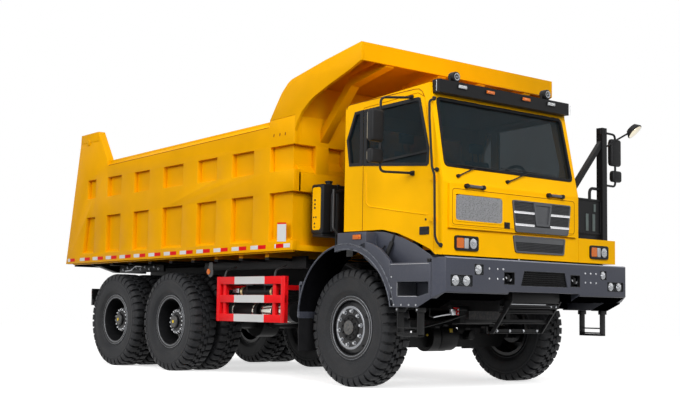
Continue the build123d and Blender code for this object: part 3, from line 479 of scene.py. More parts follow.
def lampMaterial(name, tint, clear, ribs=90.0):
    # moulded lens over a bright bowl
    material, tree, shader, place = startMaterial(name)
    wave = setInputs(tree.nodes.new("ShaderNodeTexWave"), {"Scale": ribs, "Vector": place})
    wave.bands_direction = "Y"
    colour = mixColour(tree, remap(tree, wave.outputs["Fac"], 0.2, 0.8), shade(tint), shade(tint, 0.7))
    setInputs(shader, {"Base Color": colour, "Roughness": 0.08, "Transmission Weight": clear,
                       "Coat Weight": 0.1, "Specular IOR Level": 0.15})
    addBump(tree, shader, wave.outputs["Fac"], 0.0012)
    return material


cabPaint = paintMaterial("cabPaint", (0.99, 0.49, 0.0), rough=0.3, dust=0.01, peel=0.12, shine=0.05)
bedPaint = paintMaterial("bedPaint", (0.84, 0.385, 0.0), rough=0.42, dust=0.01, peel=0.35, shine=0.04)
slatePaint = paintMaterial("slatePaint", (0.044, 0.048, 0.066), rough=0.42, dust=0.06, peel=0.5, wear=0.7,
                           shine=0.25, bare=(0.3, 0.32, 0.35))
shadowPaint = paintMaterial("shadowPaint", (0.28, 0.07, 0.001), rough=0.6, dust=0.05, peel=0.3, shine=0.1)
blackPaint = paintMaterial("blackPaint", (0.009, 0.0092, 0.01), rough=0.42, dust=0.02, peel=0.5, shine=0.12)
wheelPaint = paintMaterial("wheelPaint", (0.009, 0.0095, 0.011), rough=0.32, dust=0.03, peel=0.4, shine=0.3)
# light grey that stands for painted highlights on the rim beads and the hub face's edge
rimHighlightPaint = paintMaterial("rimHighlightPaint", (0.26, 0.27, 0.29), rough=0.3, coat=0.2, dust=0.05, peel=0.3, metal=0.3)
hubGrey = paintMaterial("hubGrey", (0.06, 0.062, 0.064), rough=0.45, dust=0.35, peel=0.6)
ironPaint = paintMaterial("ironPaint", (0.05, 0.05, 0.055), rough=0.55, dust=0.3, peel=0.8, metal=0.3)
redPaint = paintMaterial("redPaint", (0.93, 0.006, 0.01), rough=0.35, dust=0.02, shine=0.15)
tyreRubber = tyreMaterial()


def shadedUndersidePaint():
    # body colour on top, black as painted shade where the sheet faces down and below about 1.53 m
    material = paintMaterial("floorPaintAndShade", (0.96, 0.42, 0.0), rough=0.5, dust=0.05, peel=0.35, shine=0.06)
    tree = material.node_tree
    shader = tree.nodes["Principled BSDF"]
    colour = shader.inputs["Base Color"].links[0].from_socket
    normal = tree.nodes.new("ShaderNodeNewGeometry").outputs["Normal"]
    facing = setInputs(tree.nodes.new("ShaderNodeSeparateXYZ"), {0: normal})
    where = tree.nodes.new("ShaderNodeTexCoord").outputs["Object"]
    place = setInputs(tree.nodes.new("ShaderNodeSeparateXYZ"), {0: where})
    low = remap(tree, place.outputs["Z"], 1.54, 1.53)
    shadedBelow = mathNode(tree, "MAXIMUM", remap(tree, facing.outputs["Z"], -0.2, -0.5), low)
    setInputs(shader, {"Base Color": mixColour(tree, shadedBelow, colour, (0.009, 0.009, 0.01, 1))})
    return material


floorPaintAndShade = shadedUndersidePaint()
darkGlass = glassMaterial("darkGlass", (0.006, 0.014, 0.018), clear=0.4)
blackPlastic = plasticMaterial("blackPlastic", (0.01, 0.0102, 0.011), shine=0.14)
rubberSheet = plasticMaterial("rubberSheet", (0.008, 0.008, 0.009), rough=0.65, grain=200.0, depth=0.0008,
                              shine=0.12)
seatCloth = plasticMaterial("seatCloth", (0.05, 0.052, 0.058), rough=0.9, grain=700.0, depth=0.0012)
brushedSteel = metalMaterial("brushedSteel", (0.42, 0.43, 0.45), 0.32)
tapeWhite = paintMaterial("tapeWhite", (0.72, 0.72, 0.71), rough=0.3, dust=0.05, peel=0.2, shine=0.1)
tapeRed = paintMaterial("tapeRed", (0.74, 0.004, 0.006), rough=0.3, dust=0.01, peel=0.2, shine=0.06)
brassRing = paintMaterial("brassRing", (0.75, 0.62, 0.32), rough=0.3, metal=0.5, dust=0.05, peel=0.2)
tapeYellow = paintMaterial("tapeYellow", (0.9, 0.62, 0.01), rough=0.35, dust=0.05, peel=0.2)
polishedSteel = metalMaterial("polishedSteel", (0.72, 0.7, 0.62), 0.22, grain=30.0)
chromeSteel = metalMaterial("chromeSteel", (0.62, 0.63, 0.65), 0.12, grain=40.0)
brightBar = metalMaterial("brightBar", (0.8, 0.8, 0.82), 0.22, grain=30.0)
grillePaint = paintMaterial("grillePaint", (0.075, 0.078, 0.085), rough=0.38, dust=0.1, peel=0.3)
speckledSteel = speckMaterial("speckledSteel", (0.25, 0.25, 0.255), (0.02, 0.02, 0.022), 62.0)
meshSteel = metalMaterial("meshSteel", (0.3, 0.31, 0.33), 0.4)
mirrorGlass = metalMaterial("mirrorGlass", (0.78, 0.7, 0.52), 0.03, grain=3.0)
lampClear = lampMaterial("lampClear", (0.8, 0.82, 0.84), 0.3)
lampCover = glassMaterial("lampCover", (0.1, 0.11, 0.12), clear=0.88)
# flat black for the arch liners, also used as painted shade under the bumper, the step blocks and the cab
deepBlack = plasticMaterial("deepBlack", (0.005, 0.005, 0.006), rough=0.9, shine=0.0)
# light grey that stands for a painted highlight along the bumper's top front edge
highlightGrey = paintMaterial("highlightGrey", (0.3, 0.31, 0.35), rough=0.4, dust=0.05, peel=0.3, shine=0.3)
meshGrey = plasticMaterial("meshGrey", (0.055, 0.056, 0.06), rough=0.5)
greyStrip = plasticMaterial("greyStrip", (0.1, 0.125, 0.12), rough=0.5)
lampAmber = lampMaterial("lampAmber", (0.95, 0.2, 0.004), 0.1)
lampRed = lampMaterial("lampRed", (0.6, 0.01, 0.01), 0.15)
print("materials ready")

# finishes of the frame's own pieces

# the bed runners take black paint as painted shade under the load body
nodeFinish = [(cabPaint, ["cab_front", "cab_roof", "cab_back", "cab_sides", "front_flap", "door_right",
                          "door_left"]), (bedPaint, ["bed_sides", "bed_front", "bed_canopy", "tailgate"]),
              (floorPaintAndShade, ["bed_floor"]), (slatePaint, ["bumper", "fenders"]),
              (blackPaint, ["visor_bar", "bed_runners", "front_axle", "rear_axles", "frame", "springs",
                            "propshafts", "tow_frame", "tail_bar", "air_tanks", "steps", "mirror_post",
                            "knuckle_right", "knuckle_left", "deck", "grab_rail", "cab_floor",
                            "hydraulic_tank", "fuel_tank"]), (ironPaint, ["engine_block"]),
              (rubberSheet, ["mudflaps"]), (redPaint, ["side_guards"]),
              (blackPlastic, ["mirrors_left", "mirrors_right", "dashboard"]),
              (darkGlass, ["cab_glass", "door_right_glass", "door_left_glass"]), (seatCloth, ["seats"]),
              (brushedSteel, ["hoist_barrels", "hoist_stages", "hoist_rods"]),
              (tyreRubber, [name for name in nodes if name.startswith("tyre")]),
              (wheelPaint, [name for name in nodes if name.startswith("rim")]), ]
for material, names in nodeFinish:
    for name in names:
        painted(nodes[name], material)

# wheels

tyre = {"outer": 0.6825, "pitches": 38, "lugDeep": 0.034, "lugHalf": 0.0395}
axleHigh, twinMiddle = 0.684, 1.251
nuts = {"frontRadius": 0.196, "frontCount": 10, "rearRadius": 0.152, "rearCount": 16}

wheelPlaces = [("front_right", "wheel_front_right", 2.6, -1.3415, ["tyre_front_right"]),
               ("front_left", "wheel_front_left", 2.6, 1.3415, ["tyre_front_left"]),
               ("middle_right", "wheels_middle_right", -1.125, (-1.471, -1.031), ["tyres_middle_right"]),
               ("middle_left", "wheels_middle_left", -1.125, (1.471, 1.031), ["tyres_middle_left"]),
               ("rear_right", "wheels_rear_right", -2.675, (-1.471, -1.031), ["tyres_rear_right"]),
               ("rear_left", "wheels_rear_left", -2.675, (1.471, 1.031), ["tyres_rear_left"])]


def lathe(profile, steps=64):
    # spins an outline in (y, radius) about the Y axis
    curve = bpy.data.curves.new("lathe", "CURVE")
    curve.dimensions = "3D"
    polyLine(curve, [(0, y, r) for y, r in profile])
    meshOf(curve)
    editAll()
    bpy.ops.mesh.spin(steps=steps, angle=2 * math.pi, center=(0, 0, 0), axis=(0, 1, 0))
    bpy.ops.mesh.select_all(action="SELECT")
    bpy.ops.mesh.remove_doubles(threshold=0.0001)
    bpy.ops.mesh.delete_loose(use_verts=True, use_edges=True, use_faces=False)
    bpy.ops.mesh.normals_make_consistent(inside=False)
    bpy.ops.object.mode_set(mode="OBJECT")
    return bpy.context.object


def buildTyre():
    # carcass with its rings, then lugs copied round it
    outer, deep, half = tyre["outer"], tyre["lugDeep"], tyre["lugHalf"]
    side = [(0.126, 0.337), (0.127, 0.352), (0.14, 0.362), (0.152, 0.378), (0.152, 0.384), (0.149, 0.388),
            (0.158, 0.4), (0.172, 0.425), (0.176, 0.428), (0.179, 0.436), (0.1835, 0.452), (0.1885, 0.49),
            (0.1895, 0.53), (0.1885, 0.556), (0.1905, 0.56), (0.1905, 0.568), (0.187, 0.573), (0.181, 0.6),
            (0.17, 0.628), (0.155, outer - deep - 0.006), (0.11, outer - deep), (0.0, outer - deep + 0.001)]
    profile = side + [(-y, r) for y, r in reversed(side[:-1])]
    parts = [lathe(profile, 76)]
    step = 360 / tyre["pitches"]
    shoulder = [(0.07, 0.64), (0.06, outer - 0.0005), (0.142, outer - 0.0015), (0.166, outer - 0.012),
                (0.183, outer - 0.036), (0.1905, 0.612), (0.1905, 0.59), (0.184, 0.582), (0.168, 0.6),
                (0.15, 0.64)]
    lug = plate(shoulder, "x", -half, half, 0.004)
    # each lug tapers towards the tread's middle
    for vertex in lug.data.vertices:
        vertex.co.x *= 1 - 1.6 * max(0.0, 0.13 - vertex.co.y)
    core = block(-0.038, 0.038, 0.005, 0.054, 0.642, outer, 0.004, 1)
    core.data.transform(Matrix.Rotation(math.radians(12), 4, "Z"))
    for shape, shift in ((lug, 0), (mirrored(lug), 0.5), (core, 0.25), (copyOf(core, turn=("z", 180)), 0.75)):
        parts += [copyOf(shape, turn=("y", step * (i + shift))) for i in range(tyre["pitches"])]
        discard(shape)
    return joined(parts)


def hexBolt(size, tall=None):
    # hexagon head on a washer, pointing up +Z from the origin
    tall = tall or size * 0.8
    clearAll()
    bpy.ops.mesh.primitive_cylinder_add(vertices=14, radius=size * 1.3, depth=size * 0.3,
                                        location=(0, 0, size * 0.15))
    washer = bpy.context.object
    bpy.ops.mesh.primitive_cylinder_add(vertices=6, radius=size, depth=tall,
                                        location=(0, 0, size * 0.3 + tall / 2))
    head = bpy.context.object
    bevelEdges(head, size * 0.18, 1)
    return settle(joined([washer, head]))


def boltsAt(places, direction, size, tall=None):
    # the same bolt set at each place, pointing along a direction
    first = hexBolt(size, tall)
    turn = Vector((0, 0, 1)).rotation_difference(Vector(direction)).to_matrix().to_4x4()
    first.data.transform(turn)
    parts = [copyOf(first, move=place) for place in places]
    discard(first)
    return parts


def circlePlaces(x, y, z, radius, count, start=0.0):
    return [(x + radius * math.cos(math.radians(start) + 2 * math.pi * k / count), y,
             z + radius * math.sin(math.radians(start) + 2 * math.pi * k / count)) for k in range(count)]


def turnedAt(profile, x, y, side, steps=56):
    # lathe work set on a wheel's axle, its outline measured outwards from y
    obj = lathe([(p * side, r) for p, r in profile], steps)
    obj.data.transform(Matrix.Translation((x, y, axleHigh)))
    return obj


# rolled flange of one rim, in (distance from the rim's middle, radius)
flange = [(0.13, 0.35), (0.149, 0.35), (0.1535, 0.356), (0.154, 0.364), (0.1495, 0.3685), (0.144, 0.367),
          (0.1415, 0.36), (0.13, 0.357)]


def bead(y, radius, half):
    # round edge of a rim
    return [(y + half * math.cos(math.radians(a)), radius + half * math.sin(math.radians(a)))
            for a in range(0, 360, 45)]


barrel = [(-0.148, 0.355), (-0.148, 0.317), (0.148, 0.317), (0.148, 0.355), (0.138, 0.355), (0.138, 0.341),
          (-0.138, 0.341), (-0.138, 0.355)]
# hub and disc of a front wheel, bored for its spindle, then disc, drum and hub of a twin
frontHub = [(-0.043, 0.062), (-0.043, 0.185), (0.125, 0.185), (0.125, 0.25), (0.085, 0.3), (0.085, 0.318),
            (0.112, 0.322), (0.148, 0.264), (0.1535, 0.259), (0.155, 0.25), (0.155, 0.14), (0.169, 0.136),
            (0.169, 0.086), (0.186, 0.082), (0.189, 0.076), (0.189, 0.0), (0.11, 0.0), (0.11, 0.062)]
twinDisc = [(-0.022, 0.15), (-0.022, 0.22), (-0.082, 0.318), (0.082, 0.318), (0.022, 0.22), (0.022, 0.15)]
twinHub = [(-0.345, 0.062), (-0.345, 0.215), (-0.11, 0.215), (-0.11, 0.15), (0.0, 0.15), (0.0, 0.178),
           (0.25, 0.178), (0.2545, 0.174), (0.26, 0.125), (0.275, 0.092), (0.308, 0.088), (0.315, 0.08),
           (0.315, 0.0), (0.13, 0.0), (0.13, 0.062)]

tyreMesh = buildTyre()
bpy.ops.object.shade_smooth_by_angle(angle=math.radians(35))
for name, body, x, ys, replaced in wheelPlaces:
    ys = ys if isinstance(ys, tuple) else (ys,)
    parts = []
    for y in ys:
        rolled = copyOf(tyreMesh, turn=("y", 3.0 * (x + 2 * y)))
        rolled.data.transform(Matrix.Translation((x, y, axleHigh)))
        parts.append(rolled)
    done(parts, "tyre_set_" + name, body, tyreRubber, 35, replaced)
    side = -1 if ys[0] < 0 else 1
    solids = [turnedAt(barrel, x, y, 1, 64) for y in ys] + [turnedAt(flange, x, ys[0], side)]
    if len(ys) == 2:
        solids.append(turnedAt(flange, x, ys[1], -side))
    if "front" in name:
        solids.append(turnedAt(frontHub, x, ys[0], side, 64))
        rimNode = "rim_" + name
    else:
        solids += [turnedAt(twinDisc, x, side * twinMiddle, side, 64),
                   turnedAt(twinHub, x, side * twinMiddle, side, 64)]
        rimNode = "rims_" + name
    done(solids, "rim_body_" + name, body, wheelPaint, 35, [rimNode])
    out = (0, side, 0)
    # painted highlights: light rings on the rolled flange and the lock ring's edge
    rings = [turnedAt(bead(0.15, 0.365, 0.0042), x, ys[0], side),
             turnedAt(bead(0.149, 0.3325, 0.0036), x, ys[0], side)]
    done(rings, "rim_highlight_rings_" + name, body, rimHighlightPaint, 60)
    if "front" in name:
        face = ys[0] + side * 0.155
        parts = boltsAt(circlePlaces(x, face, axleHigh, nuts["frontRadius"], nuts["frontCount"], 9), out,
                        0.0185, 0.03)
        done(parts, "wheel_nuts_" + name, body, brushedSteel)
        # painted highlight along the hub face's edge
        edge = [turnedAt([(0.1545, 0.222), (0.158, 0.226), (0.16, 0.234), (0.1585, 0.246), (0.1545, 0.252)],
                         x, ys[0], side)]
        done(edge, "hub_edge_highlight_" + name, body, rimHighlightPaint, 40)
        parts = [turnedAt([(0.155, 0.088), (0.155, 0.15), (0.168, 0.146), (0.1775, 0.136), (0.1785, 0.088)],
                          x, ys[0], side)]
        parts += boltsAt(circlePlaces(x, ys[0] + side * 0.1785, axleHigh, 0.112, 10, 27), out, 0.0105, 0.012)
        done(parts, "hub_ring_" + name, body, blackPaint, 40)
        cap = [turnedAt([(0.184, 0.0), (0.184, 0.084), (0.19, 0.082), (0.1945, 0.07), (0.196, 0.03),
                         (0.2015, 0.026), (0.203, 0.0)], x, ys[0], side, 40)]
        done(cap, "hub_cap_" + name, body, hubGrey, 40)
        holes = [bar((x + 0.287 * math.cos(a), ys[0] + side * 0.136, axleHigh + 0.287 * math.sin(a)),
                     (x + 0.293 * math.cos(a), ys[0] + side * 0.142, axleHigh + 0.293 * math.sin(a)), 0.0125,
                     14) for a in [math.radians(27 + 72 * k) for k in range(5)]]
        done(holes, "hand_holes_" + name, body, blackPaint)
    else:
        face = side * twinMiddle
        parts = boltsAt(circlePlaces(x, face + side * 0.255, axleHigh, nuts["rearRadius"], nuts["rearCount"],
                                     5), out, 0.0145, 0.02)
        done(parts, "wheel_nuts_" + name, body, chromeSteel)
        cap = [turnedAt([(0.315, 0.0), (0.315, 0.082), (0.32, 0.079), (0.323, 0.07), (0.3235, 0.0)], x, face,
                        side, 40)]
        cap += boltsAt(circlePlaces(x, face + side * 0.262, axleHigh, 0.106, 10, 12), out, 0.008, 0.008)
        done(cap, "hub_cap_" + name, body, hubGrey, 40)
        plug = [bar((x, face + side * 0.3235, axleHigh), (x, face + side * 0.331, axleHigh), 0.021, 16,
                    0.003)]
        done(plug, "hub_plug_" + name, body, tapeYellow)
discard(tyreMesh)
print("wheels done")

# cab front


def roundRect(u0, u1, v0, v1, radius, steps=5):
    # corner arcs of a rounded rectangle, worked out as points
    points = []
    for cu, cv, start in ((u1 - radius, v1 - radius, 0), (u0 + radius, v1 - radius, 90),
                          (u0 + radius, v0 + radius, 180), (u1 - radius, v0 + radius, 270)):
        points += arcPoints((cu, cv), radius, start, start + 90, steps)
    return points


def roundedCorners(corners, radius, steps=4):
    # any outline with each corner eased by a curve of its own
    pts = [Vector(corner) for corner in corners]
    return [tuple(point) for i, p in enumerate(pts)
            for point in eased(pts[i - 1], p, pts[(i + 1) % len(pts)], radius, steps)]


def rimOf(corners, axis, low, high, width, radius, edge=0.0):
    # a frame of even width inside the given outline
    middle = Vector((sum(c[0] for c in corners), sum(c[1] for c in corners))) / len(corners)
    inner = []
    pts = [Vector(corner) for corner in corners]
    for i, p in enumerate(pts):
        back = (pts[i - 1] - p).normalized()
        on = (pts[(i + 1) % len(pts)] - p).normalized()
        half = (back + on).normalized()
        sine = max(0.2, abs(back.cross(half)))
        if half.dot(middle - p) < 0:
            half = -half
        inner.append(tuple(p + half * width / sine))
    body = plate(roundedCorners(corners, radius), axis, low, high)
    hole = plate(roundedCorners(inner, max(0.002, radius - width * 0.6)), axis, low - 0.01, high + 0.01)
    cut(body, hole)
    if edge:
        bevelEdges(body, edge, 1)
    return body


def leaned(objects, angle, origin):
    # tips pieces made in the upright plane back to a sloping face
    place = Matrix.Translation(origin) @ Matrix.Rotation(math.radians(-angle), 4, "Y")
    for obj in objects:
        obj.data.transform(place)
    return objects


def wireGrid(corners, x, wire, pitch):
    # woven mesh that fills an outline in (y, z)
    ys = [c[0] for c in corners]
    zs = [c[1] for c in corners]
    parts = []

    def crossing(level, index):
        hits = []
        for i, a in enumerate(corners):
            b = corners[(i + 1) % len(corners)]
            lowSide, highSide = a[index] - level, b[index] - level
            if lowSide * highSide < 0:
                t = lowSide / (lowSide - highSide)
                hits.append(a[1 - index] + t * (b[1 - index] - a[1 - index]))
        return sorted(hits)

    for index, low, high in ((0, min(ys), max(ys)), (1, min(zs), max(zs))):
        count = int((high - low) / pitch)
        for k in range(1, count):
            level = low + (high - low) * k / count
            hits = crossing(level, index)
            if len(hits) < 2:
                continue
            a, b = hits[0], hits[-1]
            ends = ((level, a), (level, b)) if index == 0 else ((a, level), (b, level))
            parts.append(bar((x + index * wire, *ends[0]), (x + index * wire, *ends[1]), wire, 4))
    return parts


faceX = 4.095
screen = {"lean": 11.71, "foot": (4.06, 0.0, 2.44), "slope": 0.2073, "seal": 0.034, "proud": 0.012}
outerCorners = [(-1.446, 0.02), (0.741, 0.02), (0.72, 0.826), (-1.425, 0.826)]
seal = rimOf(outerCorners, "x", -0.022, screen["proud"], screen["seal"], 0.07, 0.004)
leaned([seal], screen["lean"], screen["foot"])
done([seal], "windscreen_seal", "chassis", rubberSheet)

wipers = [(-1.265, (-1.415, 2.496), (-0.49, 2.485), (-0.95, 2.493)),
          (-0.465, (-0.522, 2.515), (0.403, 2.507), (-0.06, 2.512))]


def screenX(z):
    # the glass's outer face at a height
    return screen["foot"][0] - (z - screen["foot"][2]) * screen["slope"]


parts = []
for pivotY, left, right, hold in wipers:
    parts.append(bar((4.07, pivotY, 2.363), (4.108, pivotY, 2.367), 0.02, 14, 0.003))
    arm = [(4.1, pivotY, 2.365), (4.094, pivotY + (hold[0] - pivotY) * 0.3, 2.405),
           (screenX(hold[1]) + 0.03, hold[0], hold[1])]
    parts += [tube(arm, 0.0075, 0.05),
              tube([(4.1, pivotY, 2.365), (4.096, pivotY + (hold[0] - pivotY) * 0.12, 2.378)], 0.011)]
    blade = [(screenX(left[1]) + 0.012, left[0], left[1]), (screenX(right[1]) + 0.012, right[0], right[1])]
    parts.append(tube(blade, 0.0055, sides=6))
    bow = [Vector(blade[0]).lerp(Vector(blade[1]), t) + Vector((lift, 0, 0))
           for t, lift in ((0.16, 0.004), (0.3, 0.015), (0.5, 0.02), (0.7, 0.015), (0.84, 0.004))]
    parts.append(tube(bow, 0.006, sides=6))
done(parts, "wipers", "chassis", blackPlastic)

# flap: raised panel, vent plate, grille and lock
flapX = 4.125
panel = {"low": 1.812, "high": 2.233, "right": -1.408, "left": 0.7, "proud": 0.004}
parts = [plate(roundRect(panel["right"], panel["left"], panel["low"], panel["high"], 0.05), "x",
               flapX - 0.002, flapX + panel["proud"], 0.002)]
done(parts, "flap_panel", "front_flap", cabPaint)

# a recessed vent plate with fine mesh, the paint's edge eased round it
ventCorners = [(-1.34, 1.878), (-0.59, 1.878), (-0.59, 2.16), (-1.34, 2.16)]
parts = [plate(roundedCorners(ventCorners, 0.045), "x", flapX + 0.003, flapX + 0.0055, 0.001)]
done(parts, "vent_back", "front_flap", speckledSteel)
innerVent = [(-1.334, 1.884), (-0.596, 1.884), (-0.596, 2.154), (-1.334, 2.154)]
done(wireGrid(innerVent, flapX + 0.0062, 0.0012, 0.0212), "vent_mesh", "front_flap", meshSteel)
parts = [rimOf([(-1.356, 1.862), (-0.574, 1.862), (-0.574, 2.176), (-1.356, 2.176)], "x", flapX + 0.002,
               flapX + 0.0095, 0.018, 0.055, 0.0035)]
done(parts, "vent_surround", "front_flap", cabPaint)

# grille on the flap: grey surround, solid lower band, two bright bars each side of a blank centre block
grilleCorners = [(-0.383, 1.801), (0.552, 1.801), (0.598, 2.163), (-0.433, 2.163)]
parts = [plate(roundedCorners(grilleCorners, 0.03), "x", flapX + 0.002, flapX + 0.006)]
done(parts, "grille_back", "front_flap", blackPaint)
parts = [rimOf(grilleCorners, "x", flapX + 0.003, flapX + 0.022, 0.017, 0.035, 0.004),
         plate([(-0.384, 1.812), (0.554, 1.812), (0.562, 1.872), (-0.392, 1.872)], "x", flapX + 0.004,
               flapX + 0.018, 0.004, 2)]
emblem = [(-0.034, 1.886), (0.202, 1.886), (0.246, 2.15), (-0.078, 2.15)]
parts += [rimOf(emblem, "x", flapX + 0.004, flapX + 0.028, 0.026, 0.02, 0.005),
          plate(roundedCorners([(-0.012, 1.908), (0.18, 1.908), (0.218, 2.128), (-0.05, 2.128)], 0.012), "x",
                flapX + 0.004, flapX + 0.015, 0.004, 2)]
done(parts, "grille_frame", "front_flap", grillePaint)
parts = []
for low, right, left in ((2.012, -0.41, 0.575), (1.872, -0.39, 0.558)):
    for y0, y1 in ((right, -0.06), (0.224, left)):
        parts.append(block(flapX + 0.006, flapX + 0.027, y0, y1, low, low + 0.029, 0.006, 3))
done(parts, "grille_bars", "front_flap", brightBar)
innerGrille = [(-0.373, 1.87), (0.542, 1.87), (0.583, 2.15), (-0.418, 2.15)]
done(wireGrid(innerGrille, flapX + 0.009, 0.0034, 0.016), "grille_mesh", "front_flap", meshGrey)

parts = [block(flapX, flapX + 0.014, -0.56, -0.47, 1.828, 1.9, 0.006),
         bar((flapX + 0.012, -0.515, 1.864), (flapX + 0.022, -0.515, 1.864), 0.018, 18, 0.002)]
done(parts, "flap_lock", "front_flap", blackPlastic)

gripZ = 2.258
parts = []
sleeves = []
for y0, y1 in ((-1.205, -0.905), (0.172, 0.458)):
    grip = [(4.122, y0 + 0.02, gripZ), (4.156, y0 + 0.022, gripZ), (4.156, y1 - 0.022, gripZ),
            (4.122, y1 - 0.02, gripZ)]
    parts.append(tube(grip, 0.014, 0.018, 10))
    for y in (y0 + 0.02, y1 - 0.02):
        parts.append(bar((4.124, y, gripZ), (4.17, y, gripZ), 0.026, 20, 0.006))
    sleeves.append(bar((4.156, y0 + 0.05, gripZ), (4.156, y1 - 0.05, gripZ), 0.0165, 20, 0.003))
done(parts, "flap_grips", "front_flap", blackPlastic)
done(sleeves, "grip_sleeves", "front_flap", grillePaint)
seamCorners = [(-1.392, 1.828), (0.684, 1.828), (0.684, 2.222), (-1.392, 2.222)]
done([rimOf(seamCorners, "x", flapX + 0.003, flapX + 0.0052, 0.006, 0.04)], "flap_seam", "front_flap",
     shadowPaint)

# under the flap: low grille
lowCorners = [(-0.343, 1.57), (0.516, 1.57), (0.54, 1.765), (-0.383, 1.765)]
parts = [rimOf(lowCorners, "x", faceX - 0.001, faceX + 0.016, 0.02, 0.03, 0.004),
         plate([(-0.366, 1.69), (0.524, 1.69), (0.534, 1.762), (-0.378, 1.762)], "x", faceX - 0.001,
               faceX + 0.013, 0.004, 2)]
done(parts, "low_grille", "chassis", grillePaint)
done([plate(roundedCorners(lowCorners, 0.03), "x", faceX - 0.001, faceX + 0.003)], "low_grille_back",
     "chassis", blackPaint)
done(wireGrid([(-0.328, 1.586), (0.501, 1.586), (0.512, 1.692), (-0.35, 1.692)], faceX + 0.006, 0.003, 0.017),
     "low_grille_mesh", "chassis", meshGrey)
print("cab front done")

# bumper, fenders, steps, tank and tail

bumperX, bumperBack, sideY, towY = 4.212, 4.075, 1.65, 0.578
lampPockets = [(-1.495, -1.158, 1.162, 1.286), (-1.127, -0.985, 1.291, 1.41), (1.205, 1.52, 1.162, 1.276),
               (1.07, 1.187, 1.296, 1.407)]


def cutAll(obj, tools):
    # one cut with several separate tools
    return cut(obj, joined(tools))


plan = [(bumperX, -1.57), (bumperX, 1.57), (bumperX - 0.12, sideY), (bumperBack, sideY), (bumperBack, -sideY),
        (bumperX - 0.12, -sideY)]
shell = plate(plan, "z", 0.93, 1.47)
cut(shell, plate([(bumperX + 0.01, 0.9), (bumperX + 0.01, 1.1055), (bumperBack - 0.01, 1.0235),
                  (bumperBack - 0.01, 0.9)], "y", -1.7, 1.7))
cut(shell, block(4.0, 4.3, -0.57, 0.676, 0.9, 1.12))
bevelEdges(shell, 0.012, 3, 20)
tools = [block(bumperBack - 0.01, bumperX - 0.04, -1.56, 1.56, 1.15, 1.43),
         plate([(-0.37, 1.19), (0.45, 1.19), (0.405, 1.36), (-0.315, 1.36)], "x", 4.16, 4.22)]
for side in (-1, 1):
    tools.append(block(4.16, 4.22, side * towY - 0.074, side * towY + 0.102, 1.198, 1.34))
for y0, y1, z0, z1 in lampPockets:
    tools.append(block(bumperX - 0.028, 4.22, y0, y1, z0, z1))
cut(shell, tools[0])
cutAll(shell, tools[1:])
done([shell], "bumper_beam", "chassis", slatePaint, 30, ["bumper"])

meshCorners = [(-0.365, 1.192), (0.445, 1.192), (0.401, 1.358), (-0.311, 1.358)]
parts = wireGrid(meshCorners, bumperX - 0.022, 0.004, 0.022)
parts.append(rimOf([(-0.37, 1.19), (0.45, 1.19), (0.405, 1.36), (-0.315, 1.36)], "x", bumperX - 0.03,
                   bumperX - 0.01, 0.01, 0.012, 0.002))
for side in (-1, 1):
    y0, y1 = side * towY - 0.074, side * towY + 0.102
    parts.append(rimOf([(y0, 1.2), (y1, 1.2), (y1, 1.34), (y0, 1.34)], "x", bumperX - 0.03, bumperX + 0.002,
                       0.008, 0.01, 0.002))
# notched brackets where the bumper meets the fenders
for side in (-1, 1):
    for x0, x1 in ((4.01, 4.066), (4.08, 4.136)):
        parts.append(block(x0, x1, *sorted((side * 1.6, side * 1.651)), 1.416 if x0 < 4.05 else 1.468,
                           1.452 if x0 < 4.05 else 1.48, 0.006))
done(parts, "bumper_mesh", "chassis", blackPaint)
places = [(bumperX - 0.0068, y, z) for z in (1.257, 1.366)
          for y in (-0.894, -0.76, -0.666, 0.778, 0.88, 0.982)]
done(boltsAt(places, (1, 0, 0), 0.013), "bumper_bolts", "chassis", brushedSteel)
parts = []
for side in (-1, 1):
    y = side * towY
    parts.append(tube([(4.196, y - 0.03, 1.285), (4.204, y - 0.004, 1.25), (4.204, y + 0.034, 1.244),
                       (4.196, y + 0.062, 1.262)], 0.009, 0.01))
done(parts, "tow_pins", "chassis", brushedSteel)

# fenders: step block, outer skin, wing wall and arch with its beads
arch = {"x": 2.655, "z": 0.79, "outer": 0.865, "inner": 0.79, "front": 10.5, "split": 103.0, "liner": 0.848}
middle = (arch["x"], arch["z"])


def archBand(outer, inner, y0, y1, start, end, steps, edge=0.0):
    return plate(arcPoints(middle, outer, start, end, steps) + arcPoints(middle, inner, end, start, steps),
                 "y", y0, y1, edge, 2)


def archTool():
    return bar((arch["x"], -1.75, arch["z"]), (arch["x"], -1.0, arch["z"]), arch["outer"] - 0.001, 96)


stepBlock = plate([(3.423, 1.415), (4.07, 1.415), (4.07, 1.024), (3.87, 0.93), (3.423, 0.93)], "y", -sideY,
                  -1.33, 0.01, 3)
foot = [(3.545, 1.045), (3.545, 1.208), (4.035, 1.208), (4.035, 1.085), (3.86, 1.045)]
cut(stepBlock, plate(foot, "y", -1.7, -1.35))
outerSkin = plate([(2.8, 1.6), (3.02, 1.661), (3.1, 1.642), (3.176, 1.615), (3.251, 1.578), (3.341, 1.511),
                   (3.424, 1.435), (3.424, 0.93), (3.2, 0.93)], "y", -sideY, -1.61)
cut(outerSkin, archTool())
shoulder = block(2.515, 3.02, -sideY, -1.472, 1.56, 1.78)
cut(shoulder, archTool())
bevelEdges(outerSkin, 0.008, 3, 40)
bevelEdges(shoulder, 0.01, 3, 50)
wing = plate([(2.8, 1.5), (2.8, 1.78), (3.005, 1.788), (3.172, 1.776), (3.453, 1.703), (3.669, 1.62),
              (3.88, 1.51), (3.985, 1.44), (4.07, 1.436), (4.07, 1.4), (3.25, 1.2)], "y", -1.49, -1.471,
             0.006, 2)
fenderParts = [stepBlock, outerSkin, shoulder, wing,
               archBand(arch["outer"], arch["inner"], -sideY, -1.612, arch["front"], arch["split"], 56,
                        0.006),
               archBand(arch["outer"] + 0.001, arch["liner"], -sideY, -1.638, arch["front"], 180, 96, 0.002)]
